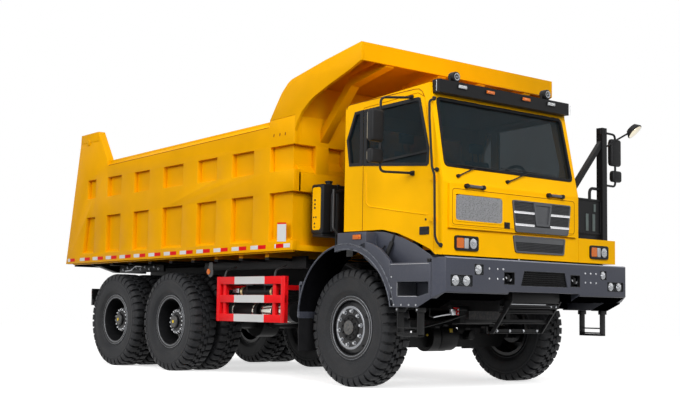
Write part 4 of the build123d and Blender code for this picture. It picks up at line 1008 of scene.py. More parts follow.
# rolled beads along the arch's edges
for radius, start, end, thick in ((0.796, arch["front"], arch["split"], 0.007),
                                  (0.856, arch["front"], arch["split"], 0.006),
                                  (0.856, arch["split"] + 1, 180, 0.006)):
    fenderParts.append(tube([(x, -sideY, z) for x, z in arcPoints(middle, radius, start, end, 60)], thick,
                            sides=8))
fenderParts += [plate([(3.424, 1.4), (3.424, 1.432), (3.88, 1.432), (3.88, 1.415), (3.44, 1.415)], "y",
                      -1.474, -1.452, 0.002), block(1.81, 1.85, -1.64, -0.455, 1.18, 1.22, 0.005),
                block(1.8, 1.812, -1.64, -1.19, 0.78, 1.2, 0.003)]
done(bothSides(fenderParts), "fender_panels", "chassis", slatePaint, 30,
     ["fenders"])

# black arch liners, and flat black on the step block's sloping underside as painted shade
liner = archBand(arch["outer"], arch["liner"] - 0.002, -1.637, -1.18, arch["front"], 180, 96, 0.002)
under = plate([(3.872, 0.925), (4.07, 1.018), (4.07, 1.026), (3.87, 0.932)], "y", -1.648, -1.332)
done([liner, mirrored(liner), under, mirrored(under)], "fender_liners_and_shade", "chassis", deepBlack)
# painted shade: flat black strips on the bumper's sloping underside
parts = [plate([(4.209, 1.0995), (4.078, 1.0245), (4.078, 1.031), (4.207, 1.105)], "y", y0, y1)
         for y0, y1 in ((-1.562, -0.572), (0.678, 1.562))]
done(parts, "bumper_underside_shade", "chassis", deepBlack)
# painted highlight: light grey strip along the bumper's top front edge
parts = [block(4.178, 4.213, -1.556, 1.556, 1.46, 1.474, 0.002, 1)]
done(parts, "bumper_edge_highlight", "chassis", highlightGrey)

# bright strips, plates and small fittings on the fenders
parts = [block(3.44, 4.04, -1.653, -1.64, 1.396, 1.402, 0.001, 1),
         block(3.548, 3.552, -1.652, -1.36, 1.05, 1.2, 0.001, 1),
         block(3.56, 3.86, -1.651, -1.36, 1.046, 1.052, 0.001, 1)]
parts += boltsAt([(x, -1.651, 0.955) for x in (3.5, 3.62, 3.74, 3.85)], (0, -1, 0), 0.009)
parts += boltsAt([(3.46, -1.651, z) for z in (1.02, 1.14, 1.26)], (0, -1, 0), 0.008)
done(bothSides(parts), "fender_trim", "chassis", brushedSteel)
parts = [bar((3.235, -1.56, 1.44), (3.3, -1.5, 1.66), 0.026, 18, 0.004),
         bar((3.3, -1.5, 1.66), (3.33, -1.486, 1.75), 0.012, 14),
         tube([(3.24, -1.56, 1.45), (3.16, -1.59, 1.44), (3.12, -1.54, 1.52), (3.18, -1.5, 1.62)], 0.008,
              0.03), block(2.69, 2.8, -1.654, -1.645, 1.5, 1.59, 0.004)]
done(bothSides(parts), "fender_fittings", "chassis", blackPlastic)

# hanging steps at the sides
parts = []
for x in (3.53, 3.846):
    parts += [block(x, x + 0.014, -1.63, -1.53, 0.615, 0.932, 0.004),
              block(x - 0.018, x + 0.032, -1.636, -1.524, 0.88, 0.93, 0.005)]
parts.append(block(3.53, 3.86, -1.63, -1.53, 0.615, 0.64, 0.006))
for z in (0.642, 0.7):
    parts.append(block(3.54, 3.85, -1.631, -1.622, z, z + 0.016, 0.002, 1))
parts = bothSides(parts)

# ladder under the bumper's middle, leaning back
ladder = {"right": -0.38, "left": 0.49, "plate": 0.02, "deep": 0.094, "lip": 0.052, "top": 1.026,
          "low": 0.645}
for y in (ladder["right"], ladder["left"] - ladder["plate"]):
    parts.append(plate([(3.962, ladder["top"]), (4.095, ladder["top"]), (3.805, ladder["low"]),
                        (3.745, ladder["low"]), (3.933, 0.898), (3.962, 0.898)], "y", y, y + ladder["plate"],
                       0.004))
trims = []
for z, front in ((0.99, 4.055), (0.93, 3.99), (0.812, 3.885), (0.7, 3.79)):
    parts += [block(front - ladder["deep"], front, ladder["right"], ladder["left"], z - ladder["lip"] + 0.007,
                    z - ladder["lip"] + 0.021, 0.003),
              block(front - 0.014, front, ladder["right"], ladder["left"], z - ladder["lip"], z, 0.004)]
    # toothed grip along each tread
    for k in range(14):
        y = ladder["right"] + 0.045 + k * (ladder["left"] - ladder["right"] - 0.09) / 13
        foot, top = z - ladder["lip"] + 0.018, z - ladder["lip"] + 0.03
        if k % 2:
            parts.append(bar((front - 0.058, y, foot), (front - 0.058, y, top), 0.015, 12, 0.003, 0.011))
        else:
            parts.append(bar((front - 0.03, y, foot), (front - 0.03, y, top), 0.012, 12))
for y in (-0.355, 0.41):
    parts.append(block(3.95, 4.065, y, y + 0.02, 0.988, 1.13, 0.003))
parts.append(block(4.06, 4.076, -0.36, 0.47, 1.0, 1.12, 0.004))
done(parts, "ladder_and_steps", "chassis", blackPaint, 30, ["steps"])
trims.append(block(4.0545, 4.0585, -0.36, 0.25, 0.981, 0.99, 0.001, 1))
trims += boltsAt([(4.055, y, 0.962) for y in (0.34, 0.43)], (1, 0, 0), 0.009)
trims += boltsAt([(3.79, y, 0.678) for y in (-0.3, -0.08, 0.16, 0.4)], (1, 0, 0), 0.013)
for side in (-1, 1):
    trims += boltsAt([(x + 0.007, side * 1.637, 0.905) for x in (3.53, 3.846)], (0, side, 0), 0.008)
done(trims, "ladder_bolts", "chassis", brushedSteel)

# hydraulic tank behind the cab
tank = {"x": (1.825, 2.05), "y": (-1.5, -0.6), "z": (1.8, 2.41)}
x0, x1 = tank["x"]
parts = [block(x0, x1, *tank["y"], *tank["z"], 0.03, 4),
         bar((1.96, -1.33, 2.405), (1.96, -1.33, 2.44), 0.04, 24, 0.004),
         bar((1.96, -1.33, 2.438), (1.96, -1.33, 2.458), 0.05, 24, 0.005),
         block(x0 + 0.015, x1 - 0.015, -1.48, -0.395, 1.77, 1.801, 0.004),
         block(x0 + 0.03, x1 - 0.03, -0.455, -0.395, 1.218, 1.772, 0.004)]
for y in (-1.25, -0.8):
    parts.append(block(x0 - 0.006, x1 + 0.006, y - 0.02, y + 0.02, tank["z"][0] - 0.004, tank["z"][1] + 0.006,
                       0.004))
done(parts, "oil_tank", "chassis", blackPaint, 30, ["hydraulic_tank"])
parts = [plate(roundRect(x0 + 0.035, x1 - 0.035, 1.85, 2.37, 0.03), "y", -1.503, -1.499, 0.001)]
done(parts, "oil_tank_face", "chassis", cabPaint)
parts = [bar((1.912, -1.502, z), (1.912, -1.511, z), 0.012, 14, 0.002) for z in (2.215, 2.165, 2.12)]
parts += [bar((x, -1.502, 2.005), (x, -1.51, 2.005), 0.01, 14, 0.002) for x in (1.895, 1.935)]
parts += [bar((1.91, -1.502, z), (1.91, -1.51, z), 0.01, 14, 0.002) for z in (1.93, 1.885)]
parts += [tube([(2.11, -1.4, 1.83), (2.11, -1.4, 2.3), (2.11, -1.1, 2.38)], 0.014, 0.05, 10),
          tube([(2.085, -1.3, 2.3), (2.085, -1.3, 1.5), (2.085, -0.7, 1.3)], 0.018, 0.08, 10)]
done(parts, "oil_tank_fittings", "chassis", blackPlastic)
done([tube([(2.16, -1.42, 2.34), (2.16, -1.42, 1.86), (2.14, -1.3, 1.78)], 0.011, 0.04, 10)], "return_pipe",
     "chassis", hubGrey)

# tail: cross bar, lamp brackets and towing eye
parts = [block(-3.955, -3.905, -1.34, 1.34, 0.89, 0.99, 0.005)]
for side in (-1, 1):
    parts += [block(-3.974, -3.95, *sorted((side * 1.2, side * 1.34)), 0.89, 1.155, 0.005),
              block(-3.905, -3.898, *sorted((side * 0.38, side * 0.455)), 0.89, 1.15, 0.001)]
flange = plate(roundedCorners([(-4.07, -0.07), (-3.954, -0.07), (-3.954, 0.07), (-4.07, 0.07)], 0.03), "z",
               0.92, 0.96, 0.004)
cut(flange, bar((-4.02, 0, 0.9), (-4.02, 0, 0.98), 0.026, 24))
parts.append(flange)
done(parts, "tail_frame", "chassis", blackPaint, 30, ["tail_bar"])
print("body done")

# mirrors


def pillow(x0, x1, y0, y1, z0, z1, edge):
    # mirror back with soft domed corners
    body = block(x0, x1, y0, y1, z0, z1)
    mod = body.modifiers.new("soft", "BEVEL")
    mod.width = edge
    mod.segments = 5
    return applied(body, mod)


def clampAt(place, axis, radius):
    # split clamp with its bolt round a pipe
    parts = [ring(place, axis, radius + 0.007, radius - 0.001, 0.03, 20)]
    x, y, z = place
    parts.append(block(x - 0.012, x + 0.034, y - 0.012, y + 0.012, z - 0.012, z + 0.012, 0.003, 1))
    return parts


armRight = {"outY": -1.86, "x": 3.477, "low": 2.41, "high": 3.235, "pipe": 0.014}
parts = [tube([(3.6, -1.512, 3.262), (armRight["x"], armRight["outY"], armRight["high"]),
               (armRight["x"], armRight["outY"], armRight["low"]), (3.629, -1.512, 2.41)], armRight["pipe"],
              0.06, 12)]
for x, z in ((3.6, 3.262), (3.629, 2.41)):
    parts += [block(x - 0.026, x + 0.026, -1.5225, -1.5003, z - 0.026, z + 0.026, 0.005),
              bar((x, -1.522, z), (x, -1.548, z), 0.019, 18, 0.004)]
    parts += boltsAt([(x - 0.016, -1.522, z + 0.016), (x + 0.016, -1.522, z - 0.016)], (0, -1, 0), 0.0045)
for z in (2.98, 2.8, 2.61, 2.54):
    parts += clampAt((armRight["x"], armRight["outY"], z), "z", armRight["pipe"])
done(parts, "mirror_arm_right", "door_right", blackPaint, replaces=["mirrors_right"])
heads = [pillow(3.43, 3.521, -2.0295, -1.832, 2.735, 3.092, 0.036),
         pillow(3.43, 3.521, -2.0295, -1.838, 2.498, 2.655, 0.032)]
done(heads, "mirror_heads_right", "door_right", blackPlastic)
glasses = [plate(roundRect(-2.012, -1.85, 2.76, 3.068, 0.022), "x", 3.4275, 3.4315),
           plate(roundRect(-2.012, -1.86, 2.52, 2.634, 0.02), "x", 3.4275, 3.4315)]
done(glasses, "mirror_glass_right", "door_right", mirrorGlass)

armLeft = {"x": 3.97, "outY": 1.7, "post": 1.4463}
parts = [tube([(3.99, armLeft["post"] + 0.01, 3.15), (armLeft["x"], armLeft["outY"], 3.15),
               (armLeft["x"], armLeft["outY"], 2.49), (3.99, armLeft["post"] + 0.01, 2.49)], 0.014, 0.06, 12),
         tube([(3.99, armLeft["post"] + 0.01, 2.96), (4.0, 1.64, 3.06), (4.08, 1.88, 3.2)], 0.012, 0.06, 10)]
for z in (3.15, 2.49, 2.96):
    parts += [block(3.966, 4.014, armLeft["post"], armLeft["post"] + 0.022, z - 0.024, z + 0.024, 0.005),
              bar((3.99, armLeft["post"] + 0.02, z), (3.99, armLeft["post"] + 0.042, z), 0.018, 18, 0.004)]
for z in (3.02, 2.82, 2.66, 2.58):
    parts += clampAt((armLeft["x"], armLeft["outY"], z), "z", 0.014)
parts.append(ring((3.99, 1.4, 3.15), "z", 0.056, 0.04, 0.05, 24))
done(parts, "mirror_arm_left", "chassis", blackPaint, replaces=["mirrors_left"])
heads = [pillow(3.93, 4.008, 1.59, 1.792, 2.748, 3.092, 0.034),
         pillow(3.93, 4.008, 1.622, 1.8, 2.548, 2.692, 0.03)]
dishFrom, dishTo = Vector((4.07, 1.904, 3.25)), Vector((4.108, 1.918, 3.208))
dish = [bar(dishFrom, dishTo, 0.075, 32, 0.0, 0.108),
        bar(dishTo, dishTo + (dishTo - dishFrom) * 0.22, 0.1095, 32, 0.004)]
done(heads + dish, "mirror_heads_left", "chassis", blackPlastic)
glasses = [plate(roundRect(1.608, 1.774, 2.772, 3.068, 0.022), "x", 3.9275, 3.9315),
           plate(roundRect(1.64, 1.782, 2.568, 2.672, 0.02), "x", 3.9275, 3.9315)]
face = dishTo + (dishTo - dishFrom) * 0.22
along = (dishTo - dishFrom).normalized()
glasses.append(bar(face - along * 0.004, face + along * 0.003, 0.098, 32, 0.002))
done(glasses, "mirror_glass_left", "chassis", mirrorGlass)
print("mirrors done")

# load body

bed = {"half": 1.7, "wall": 0.11, "recess": 0.065, "front": 1.73, "rear": -4.19, "corner": 1.64,
       "railRear": 3.067, "railFront": 3.263, "canopy": 1.213, "post": -2.935}
columns = [(-3.54, -3.28), (-2.91, -2.49), (-2.11, -1.68), (-1.3, -0.78), (-0.41, 0.055), (0.41, 0.89),
           (1.24, 1.73)]
# each row: lower and upper edge at rear and front, rise of the lip, lean of the rearmost edge
recessRows = [(2.535, 2.6, 2.825, 2.91, 0.015, 0.0), (1.69, 1.725, 2.24, 2.33, 0.035, 0.19)]


def bedLine(x, rearZ, frontZ):
    return rearZ + (x - bed["rear"]) * (frontZ - rearZ) / (bed["front"] - bed["rear"])


def railAt(x, drop=0.0):
    return (x, bedLine(x, bed["railRear"], bed["railFront"]) - drop)


def sideOutline(notchX):
    # the wall's outline, its front edge stepping in where the last recesses run out
    points = [(bed["rear"], 1.539), (bed["front"], 1.605)]
    for lowRear, lowFront, highRear, highFront in [row[:4] for row in reversed(recessRows)]:
        points += [(bed["front"], lowFront), (notchX, bedLine(notchX, lowRear, lowFront)),
                   (notchX, bedLine(notchX, highRear, highFront)), (bed["front"], highFront)]
    points += [railAt(bed["front"]), railAt(bed["canopy"]), railAt(bed["canopy"], 0.077),
               railAt(bed["post"], 0.077), railAt(bed["post"]), (-3.25, 3.575), (-3.8, 3.559)]
    return points


inner, floorY, outer = -(bed["half"] - bed["wall"]), -(bed["half"] - bed["recess"]), -bed["half"]
holes = []
for lowRear, lowFront, highRear, highFront, lip, lean in recessRows:
    for x0, x1 in columns[:-1]:
        foot = x0 - lean * (highRear - lowRear) if x0 == columns[0][0] else x0
        holes.append([(foot, bedLine(foot, lowRear, lowFront)), (x1, bedLine(x1, lowRear, lowFront)),
                      (x1, bedLine(x1, highRear, highFront)), (x0, bedLine(x0, highRear, highFront))])
skin = plate(sideOutline(columns[-1][0]), "y", outer, floorY)
cut(skin, joined([plate(hole, "y", outer - 0.02, floorY + 0.02) for hole in holes]))
bevelEdges(skin, 0.005, 2)
parts = [skin, plate(sideOutline(bed["corner"]), "y", floorY - 0.001, inner)]
# sloping lip at the foot of every recess
for lowRear, lowFront, highRear, highFront, lip, lean in recessRows:
    slope = (lowFront - lowRear) / (bed["front"] - bed["rear"])
    for x0, x1 in columns:
        foot = x0 - lean * (highRear - lowRear) if x0 == columns[0][0] else x0
        low = bedLine(foot, lowRear, lowFront)
        section = [(floorY + 0.001, low - 0.003), (outer + 0.0015, low - 0.003), (outer + 0.0015, low),
                   (floorY + 0.001, low + lip)]
        parts.append(sloped(plate(section, "x", foot, min(x1, bed["corner"])), slope, foot))
# rail along the top, its outer face sloping in
railSlope = (bed["railFront"] - bed["railRear"]) / (bed["front"] - bed["rear"])
top = railAt(bed["post"])[1]
section = [(outer, top - 0.078), (-1.655, top - 0.032), (-1.655, top), (inner, top), (inner, top - 0.078)]
parts.append(sloped(plate(section, "x", bed["post"], bed["canopy"], 0.003, 2), railSlope, bed["post"]))
# thin welded strip along the foot
footSlope = (1.605 - 1.539) / (bed["front"] - bed["rear"])
parts.append(sloped(block(bed["rear"] + 0.2, bed["front"] - 0.03, -1.672, -1.64, 1.52, 1.545, 0.003),
                    footSlope, bed["rear"]))
# rear post: weld lines, bracket plate and pin boss
parts += [plate([(-3.815, 3.44), (-3.24, 3.44), (-3.215, 3.505), (-3.262, 3.588), (-3.805, 3.573)], "y",
                outer - 0.004, outer + 0.02, 0.003, 2),
          bar((-3.56, outer - 0.012, 3.44), (-3.56, outer + 0.03, 3.44), 0.048, 28, 0.004),
          plate([(-3.0, 3.12), (-2.955, 3.142), (-3.258, 3.59), (-3.3, 3.59)], "y", -1.69, inner + 0.004,
                0.003)]
outerWall = joined(parts)
leftWall = mirrored(outerWall)

# front wall: skin, belt, posts between the recesses and their lips
parts = [block(1.62, 1.64, inner, -inner, 1.665, 3.262), block(1.62, 1.65, -1.654, 1.654, 3.26, 3.668)]
belt = [(1.64, inner + 0.002), (1.64, outer + 0.004), (bed["front"] - 0.08, outer),
        (bed["front"], outer + 0.08), (bed["front"], -outer - 0.08), (bed["front"] - 0.08, -outer),
        (1.64, -outer - 0.004), (1.64, -inner - 0.002)]
parts += [plate(belt, "z", 2.328, 2.566, 0.005, 2),
          block(1.64, bed["front"], inner, -inner, 2.907, 3.262, 0.004)]
for y0, y1 in ((-1.353, -1.151), (-0.9, -0.7), (-0.11, 0.11), (0.7, 0.9), (1.151, 1.353)):
    parts.append(block(1.64, bed["front"], y0, y1, 2.56, 2.91, 0.004))
parts.append(plate([(1.639, 2.566), (1.639, 2.669), (bed["front"] - 0.002, 2.567)], "y", inner, -inner))
for y0, y1 in ((-1.151, -0.9), (0.9, 1.151)):
    parts.append(plate([(1.639, 2.56), (1.639, 2.73), (1.724, 2.618), (1.724, 2.56)], "y", y0 - 0.002,
                       y1 + 0.002))
parts.append(block(1.62, bed["front"], inner, -inner, 1.6, 1.668, 0.004))
frontWall = joined(parts)

# canopy over the cab
tip = 2.956
canopyTop = [(1.576, 3.683), (1.653, 3.72), (2.295, 3.861), (tip, 3.983)]
sidePlate = [(bed["canopy"], 3.248), (1.349, 3.439), (1.45, 3.571)] + canopyTop + [(tip, 3.764),
                                                                                   (2.758, 3.683),
                                                                                   (2.351, 3.544),
                                                                                   (2.112, 3.452),
                                                                                   (2.016, 3.402),
                                                                                   (1.869, 3.295),
                                                                                   (1.772, 3.18),
                                                                                   (1.7303, 3.071),
                                                                                   (1.7303, 3.2655)]
sidePlates = plate(sidePlate, "y", outer, -1.655, 0.004, 2)
parts = [sidePlates, mirrored(sidePlates),
         plate(canopyTop + [(tip, 3.764), (2.926, 3.764), (2.926, 3.942), (2.29, 3.825), (1.66, 3.687),
                            (1.59, 3.65)], "y", -1.656, 1.656, 0.003)]
for y in (-1.295, -0.418, 0.282, 1.16):
    parts.append(plate([(1.7303, 2.96), (2.31, 3.6), (2.927, 3.745), (2.927, 3.85), (2.285, 3.72),
                        (1.7303, 3.11)], "y", y, y + 0.135, 0.005, 2))
done([frontWall], "front_wall", "bed", bedPaint, 30, ["bed_front"])
done([outerWall, leftWall], "side_walls", "bed", bedPaint, 30, ["bed_sides"])
done(parts, "canopy", "bed", bedPaint, 30, ["bed_canopy"])

# tape along the foot of each side, the blank data plate and a dark line under the rail
tape = {"start": -3.72, "pitch": 0.4165, "count": 12, "white": 0.16, "red": 0.165, "half": 0.025,
        "thick": 0.0012}
whites = [(-4.126, -4.046), (1.37, 1.397), (1.552, 1.68)]
reds = [(-4.044, -3.893), (1.399, 1.55)]
for k in range(tape["count"]):
    x = tape["start"] + tape["pitch"] * k
    whites.append((x, x + tape["white"]))
    reds.append((x + tape["white"] + 0.002, x + tape["white"] + tape["red"]))
for name, spans, material in (("tape_white", whites, tapeWhite), ("tape_red", reds, tapeRed)):
    parts = []
    for x0, x1 in spans:
        z0, z1 = bedLine(x0, 1.597, 1.663), bedLine(x1, 1.597, 1.663)
        parts.append(plate([(x0, z0 - tape["half"]), (x1, z1 - tape["half"]), (x1, z1 + tape["half"]),
                            (x0, z0 + tape["half"])], "y", outer - tape["thick"], outer + 0.001))
    done(bothSides(parts), name, "bed", material)
parts = [plate([(1.424, 1.716), (1.6, 1.71), (1.596, 1.925), (1.42, 1.931)], "y", outer - 0.0012,
               outer + 0.001)]
done(bothSides(parts), "data_plates", "bed", tapeWhite)
parts = [plate([(1.42, 1.932), (1.596, 1.926), (1.595, 1.946), (1.419, 1.952)], "y", outer - 0.0012,
               outer + 0.001)]
done(bothSides(parts), "data_plate_tops", "bed", tapeRed)
darkLines = []
for x in (1.31, 1.433, 1.546):
    slot = bar((x, outer - 0.0015, 3.05), (x, outer + 0.001, 3.05), 0.011, 16)
    for vertex in slot.data.vertices:
        vertex.co.x += 0.35 * (vertex.co.z - 3.05)
        vertex.co.z += 0.9 * (vertex.co.z - 3.05)
    darkLines.append(slot)
x0, x1 = bed["post"] + 0.03, bed["canopy"] - 0.02
darkLines.append(plate([railAt(x0, 0.086), railAt(x1, 0.086), railAt(x1, 0.079), railAt(x0, 0.079)], "y",
                       outer - 0.0012, outer + 0.001))
done(bothSides(darkLines), "wall_slots", "bed", shadowPaint)
print("load body done")

# lamps

lampLook = {"rim": 0.007, "bowlSteps": 28}


def bowlAt(place, radius, deep):
    # polished bowl with its bulb cover, opening along +X
    profile = [(0.0, radius), (-deep * 0.55, radius * 0.8), (-deep, radius * 0.42), (-deep, radius * 0.3),
               (-deep * 0.45, radius * 0.26), (-deep * 0.35, radius * 0.18), (-deep * 0.33, 0.0),
               (-deep * 1.3, 0.0), (-deep * 1.3, radius * 0.5), (-deep * 0.6, radius * 0.95),
               (-0.0, radius * 1.05)]
    obj = lathe(profile, lampLook["bowlSteps"])
    obj.data.transform(Matrix.Rotation(math.radians(-90), 4, "Z"))
    obj.data.transform(Matrix.Translation(place))
    return obj


frames, bowls, clears, ambers, reds, strips = [], [], [], [], [], []

# headlamps: signal, ribbed middle and round main lamp in one black housing
for y0, y1 in ((-1.316, -0.966), (1.018, 1.353)):
    frames += [rimOf([(y0 - 0.01, 1.554), (y1 + 0.01, 1.554), (y1 + 0.01, 1.716), (y0 - 0.01, 1.716)], "x",
                     faceX - 0.001, faceX + 0.02, 0.022, 0.034, 0.004),
               block(faceX - 0.001, faceX + 0.004, y0, y1, 1.564, 1.706)]
    wide = y1 - y0
    for low, high in ((0.37, 0.4), (0.6, 0.63)):
        frames.append(block(faceX, faceX + 0.014, y0 + wide * low, y0 + wide * high, 1.574, 1.696, 0.002))
    middle = 1.635
    bowls += [bowlAt((faceX + 0.014, y0 + wide * 0.21, middle), 0.05, 0.008),
              bowlAt((faceX + 0.014, y0 + wide * 0.8, middle), 0.054, 0.008)]
    strips.append(block(faceX + 0.003, faceX + 0.013, y0 + wide * 0.405, y0 + wide * 0.595, 1.578, 1.692,
                        0.003, 2))
    ambers.append(plate(roundRect(y0 + wide * 0.045, y0 + wide * 0.365, 1.58, 1.69, 0.014), "x",
                        faceX + 0.014, faceX + 0.0185, 0.003, 2))
    clears.append(plate(roundRect(y0 + wide * 0.635, y0 + wide * 0.96, 1.58, 1.69, 0.014), "x", faceX + 0.014,
                        faceX + 0.0185, 0.003, 2))

# lamps sunk in the bumper
for y0, y1, z0, z1 in lampPockets:
    frames += [rimOf([(y0, z0), (y1, z0), (y1, z1), (y0, z1)], "x", bumperX - 0.02, bumperX + 0.002,
                     lampLook["rim"], 0.012, 0.002), block(bumperX - 0.0275, bumperX - 0.022, y0, y1, z0, z1)]
    count = 2 if y1 - y0 > 0.2 else 1
    pitch = (y1 - y0) / count
    for k in range(count):
        y = y0 + pitch * (k + 0.5)
        high = (z1 - z0) / 2 - 0.01
        bowls.append(bowlAt((bumperX - 0.008, y, (z0 + z1) / 2), min(high, pitch / 2 - 0.008), 0.012))
        for cornerY in (-1, 1):
            for cornerZ in (-1, 1):
                frames.append(bar((bumperX - 0.023, y + cornerY * (pitch / 2 - 0.014),
                                   (z0 + z1) / 2 + cornerZ * (high - 0.004)),
                                  (bumperX - 0.009, y + cornerY * (pitch / 2 - 0.014),
                                   (z0 + z1) / 2 + cornerZ * (high - 0.004)), 0.006, 8))
    clears.append(plate(roundRect(y0 + 0.008, y1 - 0.008, z0 + 0.008, z1 - 0.008, 0.012), "x",
                        bumperX - 0.007, bumperX - 0.003, 0.002, 1))

# lamps on the roof bar
barX = 3.99
for y, amber in ((-1.109, False), (-0.655, True), (-0.037, True), (0.414, False)):
    frames.append(block(barX - 0.001, barX + 0.008, y - 0.072, y + 0.072, 3.352, 3.402, 0.004))
    (ambers if amber else strips).append(block(barX + 0.004, barX + 0.024, y - 0.064, y + 0.064, 3.358, 3.396,
                                               0.008, 3))
for y, z in ((-1.179, 3.49), (0.378, 3.497)):
    frames += [bar((barX - 0.1, y, z), (barX - 0.012, y, z), 0.058, 28, 0.008),
               bar((barX - 0.112, y, z), (barX - 0.098, y, z), 0.04, 28, 0.004),
               block(barX - 0.075, barX - 0.045, y - 0.064, y + 0.064, 3.428, 3.434, 0.001, 1)]
    for end in (-1, 1):
        frames.append(block(barX - 0.072, barX - 0.048, y + end * 0.06, y + end * 0.065, 3.43, z + 0.008,
                            0.001, 1))
    bowls.append(bowlAt((barX - 0.008, y, z), 0.04, 0.006))
    clears.append(bar((barX - 0.009, y, z), (barX - 0.004, y, z), 0.044, 28, 0.002))

# markers on the arches and lamps at the tail
for side in (-1, 1):
    near, far = sorted((side * sideY, side * 1.664))
    frames.append(block(2.798, 2.947, *sorted((side * sideY, side * 1.656)), 1.69, 1.752, 0.003))
    ambers.append(block(2.803, 2.942, near, far, 1.694, 1.748, 0.005, 2))
    reds.append(bar((2.915, side * 1.663, 1.716), (2.915, side * 1.6655, 1.716), 0.008, 12))
    y0, y1 = sorted((side * 1.21, side * 1.33))
    frames.append(block(-3.982, -3.974, y0, y1, 0.99, 1.14, 0.004))
    reds.append(block(-4.012, -3.981, y0 + 0.006, y1 - 0.006, 1.066, 1.134, 0.006, 2))
    ambers.append(block(-4.008, -3.981, y0 + 0.006, y1 - 0.006, 1.03, 1.062, 0.005, 2))
    strips.append(block(-3.993, -3.981, y0 + 0.006, y1 - 0.006, 0.996, 1.026, 0.005, 2))
done(frames, "lamp_housings", "chassis", blackPlastic)
done(bowls, "lamp_bowls", "chassis", chromeSteel, 50)
done(strips, "lamp_strips", "chassis", lampClear)
done(clears, "lamp_covers", "chassis", lampCover)
done(ambers, "lamp_ambers", "chassis", lampAmber)
done(reds, "lamp_reds", "chassis", lampRed)
print("lamps done")

# cab sides and doors

side = {"y": -1.5002, "line": 0.0022, "surround": (-1.5045, -1.462)}


def lineAlong(points, width, y, proud):
    # thin flat strip that follows a path on a side face
    parts = []
    for (x0, z0), (x1, z1) in zip(points, points[1:]):
        step = Vector((x1 - x0, z1 - z0)).normalized() * width / 2
        nx, nz = -step.y, step.x
        sx, sz = step.x * 0.6, step.y * 0.6
        parts.append(plate([(x0 + nx - sx, z0 + nz - sz), (x1 + nx + sx, z1 + nz + sz),
                            (x1 - nx + sx, z1 - nz + sz), (x0 - nx - sx, z0 - nz - sz)], "y", y - proud,
                           y + 0.001))
    return parts


# black surround that joins the quarter window to the door window
doorHole = [(2.85, 2.594), (3.83, 2.512), (3.846, 2.66), (3.702, 3.216), (2.85, 3.184)]
doorFrame = [(2.792, 2.56), (3.846, 2.474), (3.876, 2.5), (3.882, 2.665), (3.735, 3.244), (3.7, 3.256),
             (2.792, 3.222)]
doorSurround = plate(doorFrame, "y", *side["surround"], holes=[doorHole])
done([doorSurround], "door_surround_right", "door_right", blackPlastic)
quarterHole = [(2.522, 2.889), (2.652, 3.178), (2.725, 3.183), (2.725, 2.6), (2.57, 2.608)]
quarterFrame = [(2.488, 2.888), (2.63, 3.212), (2.784, 3.224), (2.784, 2.562), (2.54, 2.574)]
surround = plate(quarterFrame, "y", *side["surround"], holes=[quarterHole])
done([surround], "quarter_surround_right", "chassis", blackPlastic)
bars = lineAlong([(3.06, 2.59), (3.856, 2.64)], 0.024, -1.497, 0.004)
done(bars, "door_window_bar_right", "door_right", blackPlastic)

# door: crease, handle, keyhole and seam
parts = [tube([(x, side["y"], z) for x,
               z in [(2.838, 2.47), (2.846, 2.18), (2.856, 2.12), (2.9, 2.083), (3.3, 2.02), (3.86, 1.938)]],
              0.0065, sides=8)]
done(parts, "door_crease_right", "door_right", cabPaint)
parts = [plate(roundRect(3.742, 3.888, 1.722, 1.81, 0.012), "y", -1.5075, -1.499, 0.003, 2),
         plate(roundRect(3.755, 3.876, 1.776, 1.8, 0.008), "y", -1.513, -1.506, 0.002, 2),
         bar((3.834, -1.499, 1.887), (3.834, -1.505, 1.887), 0.013, 18, 0.002)]
done(parts, "door_handle_right", "door_right", blackPlastic)
seam = [(2.7895, 1.812), (2.7895, 2.555)]
done(lineAlong(seam, 0.007, side["y"], side["line"]), "door_seam_right", "chassis", shadowPaint)
gutter = [(2.478, 3.262), (2.496, 3.294), (2.54, 3.312), (3.64, 3.352), (3.712, 3.346), (3.762, 3.312),
          (3.796, 3.25)]
parts = lineAlong(gutter, 0.008, side["y"], side["line"])
done(parts, "roof_gutter_right", "chassis", shadowPaint)

# grab rail beside the door, on black feet
rail = [(3.96, -1.508, 3.205), (3.926, -1.552, 3.18), (3.93, -1.552, 3.0), (3.974, -1.552, 2.45),
        (4.014, -1.552, 2.36), (4.028, -1.552, 1.69), (4.05, -1.53, 1.615), (4.075, -1.506, 1.6)]
parts = [tube(rail, 0.0135, 0.03, 12)]
for x, y, z in ((3.96, -1.506, 3.205), (4.075, -1.504, 1.6), (4.012, -1.506, 2.42)):
    parts.append(bar((x, y - 0.02, z), (x, y + 0.006, z), 0.024, 18, 0.005))
parts.append(bar((4.012, -1.505, 2.42), (3.99, -1.552, 2.42), 0.01, 14))
done(parts, "door_rail_right", "chassis", blackPlastic, 40, ["grab_rail"])

# visor: bright seams at its two ends
parts = [block(3.9895, 3.993, -1.512, -1.504, 3.285, 3.408, 0.001, 1),
         block(3.9895, 3.993, 0.775, 0.783, 3.285, 3.408, 0.001, 1)]
done(parts, "visor_seams", "chassis", brushedSteel)

print("cab sides done")

# side guards and what hangs behind them

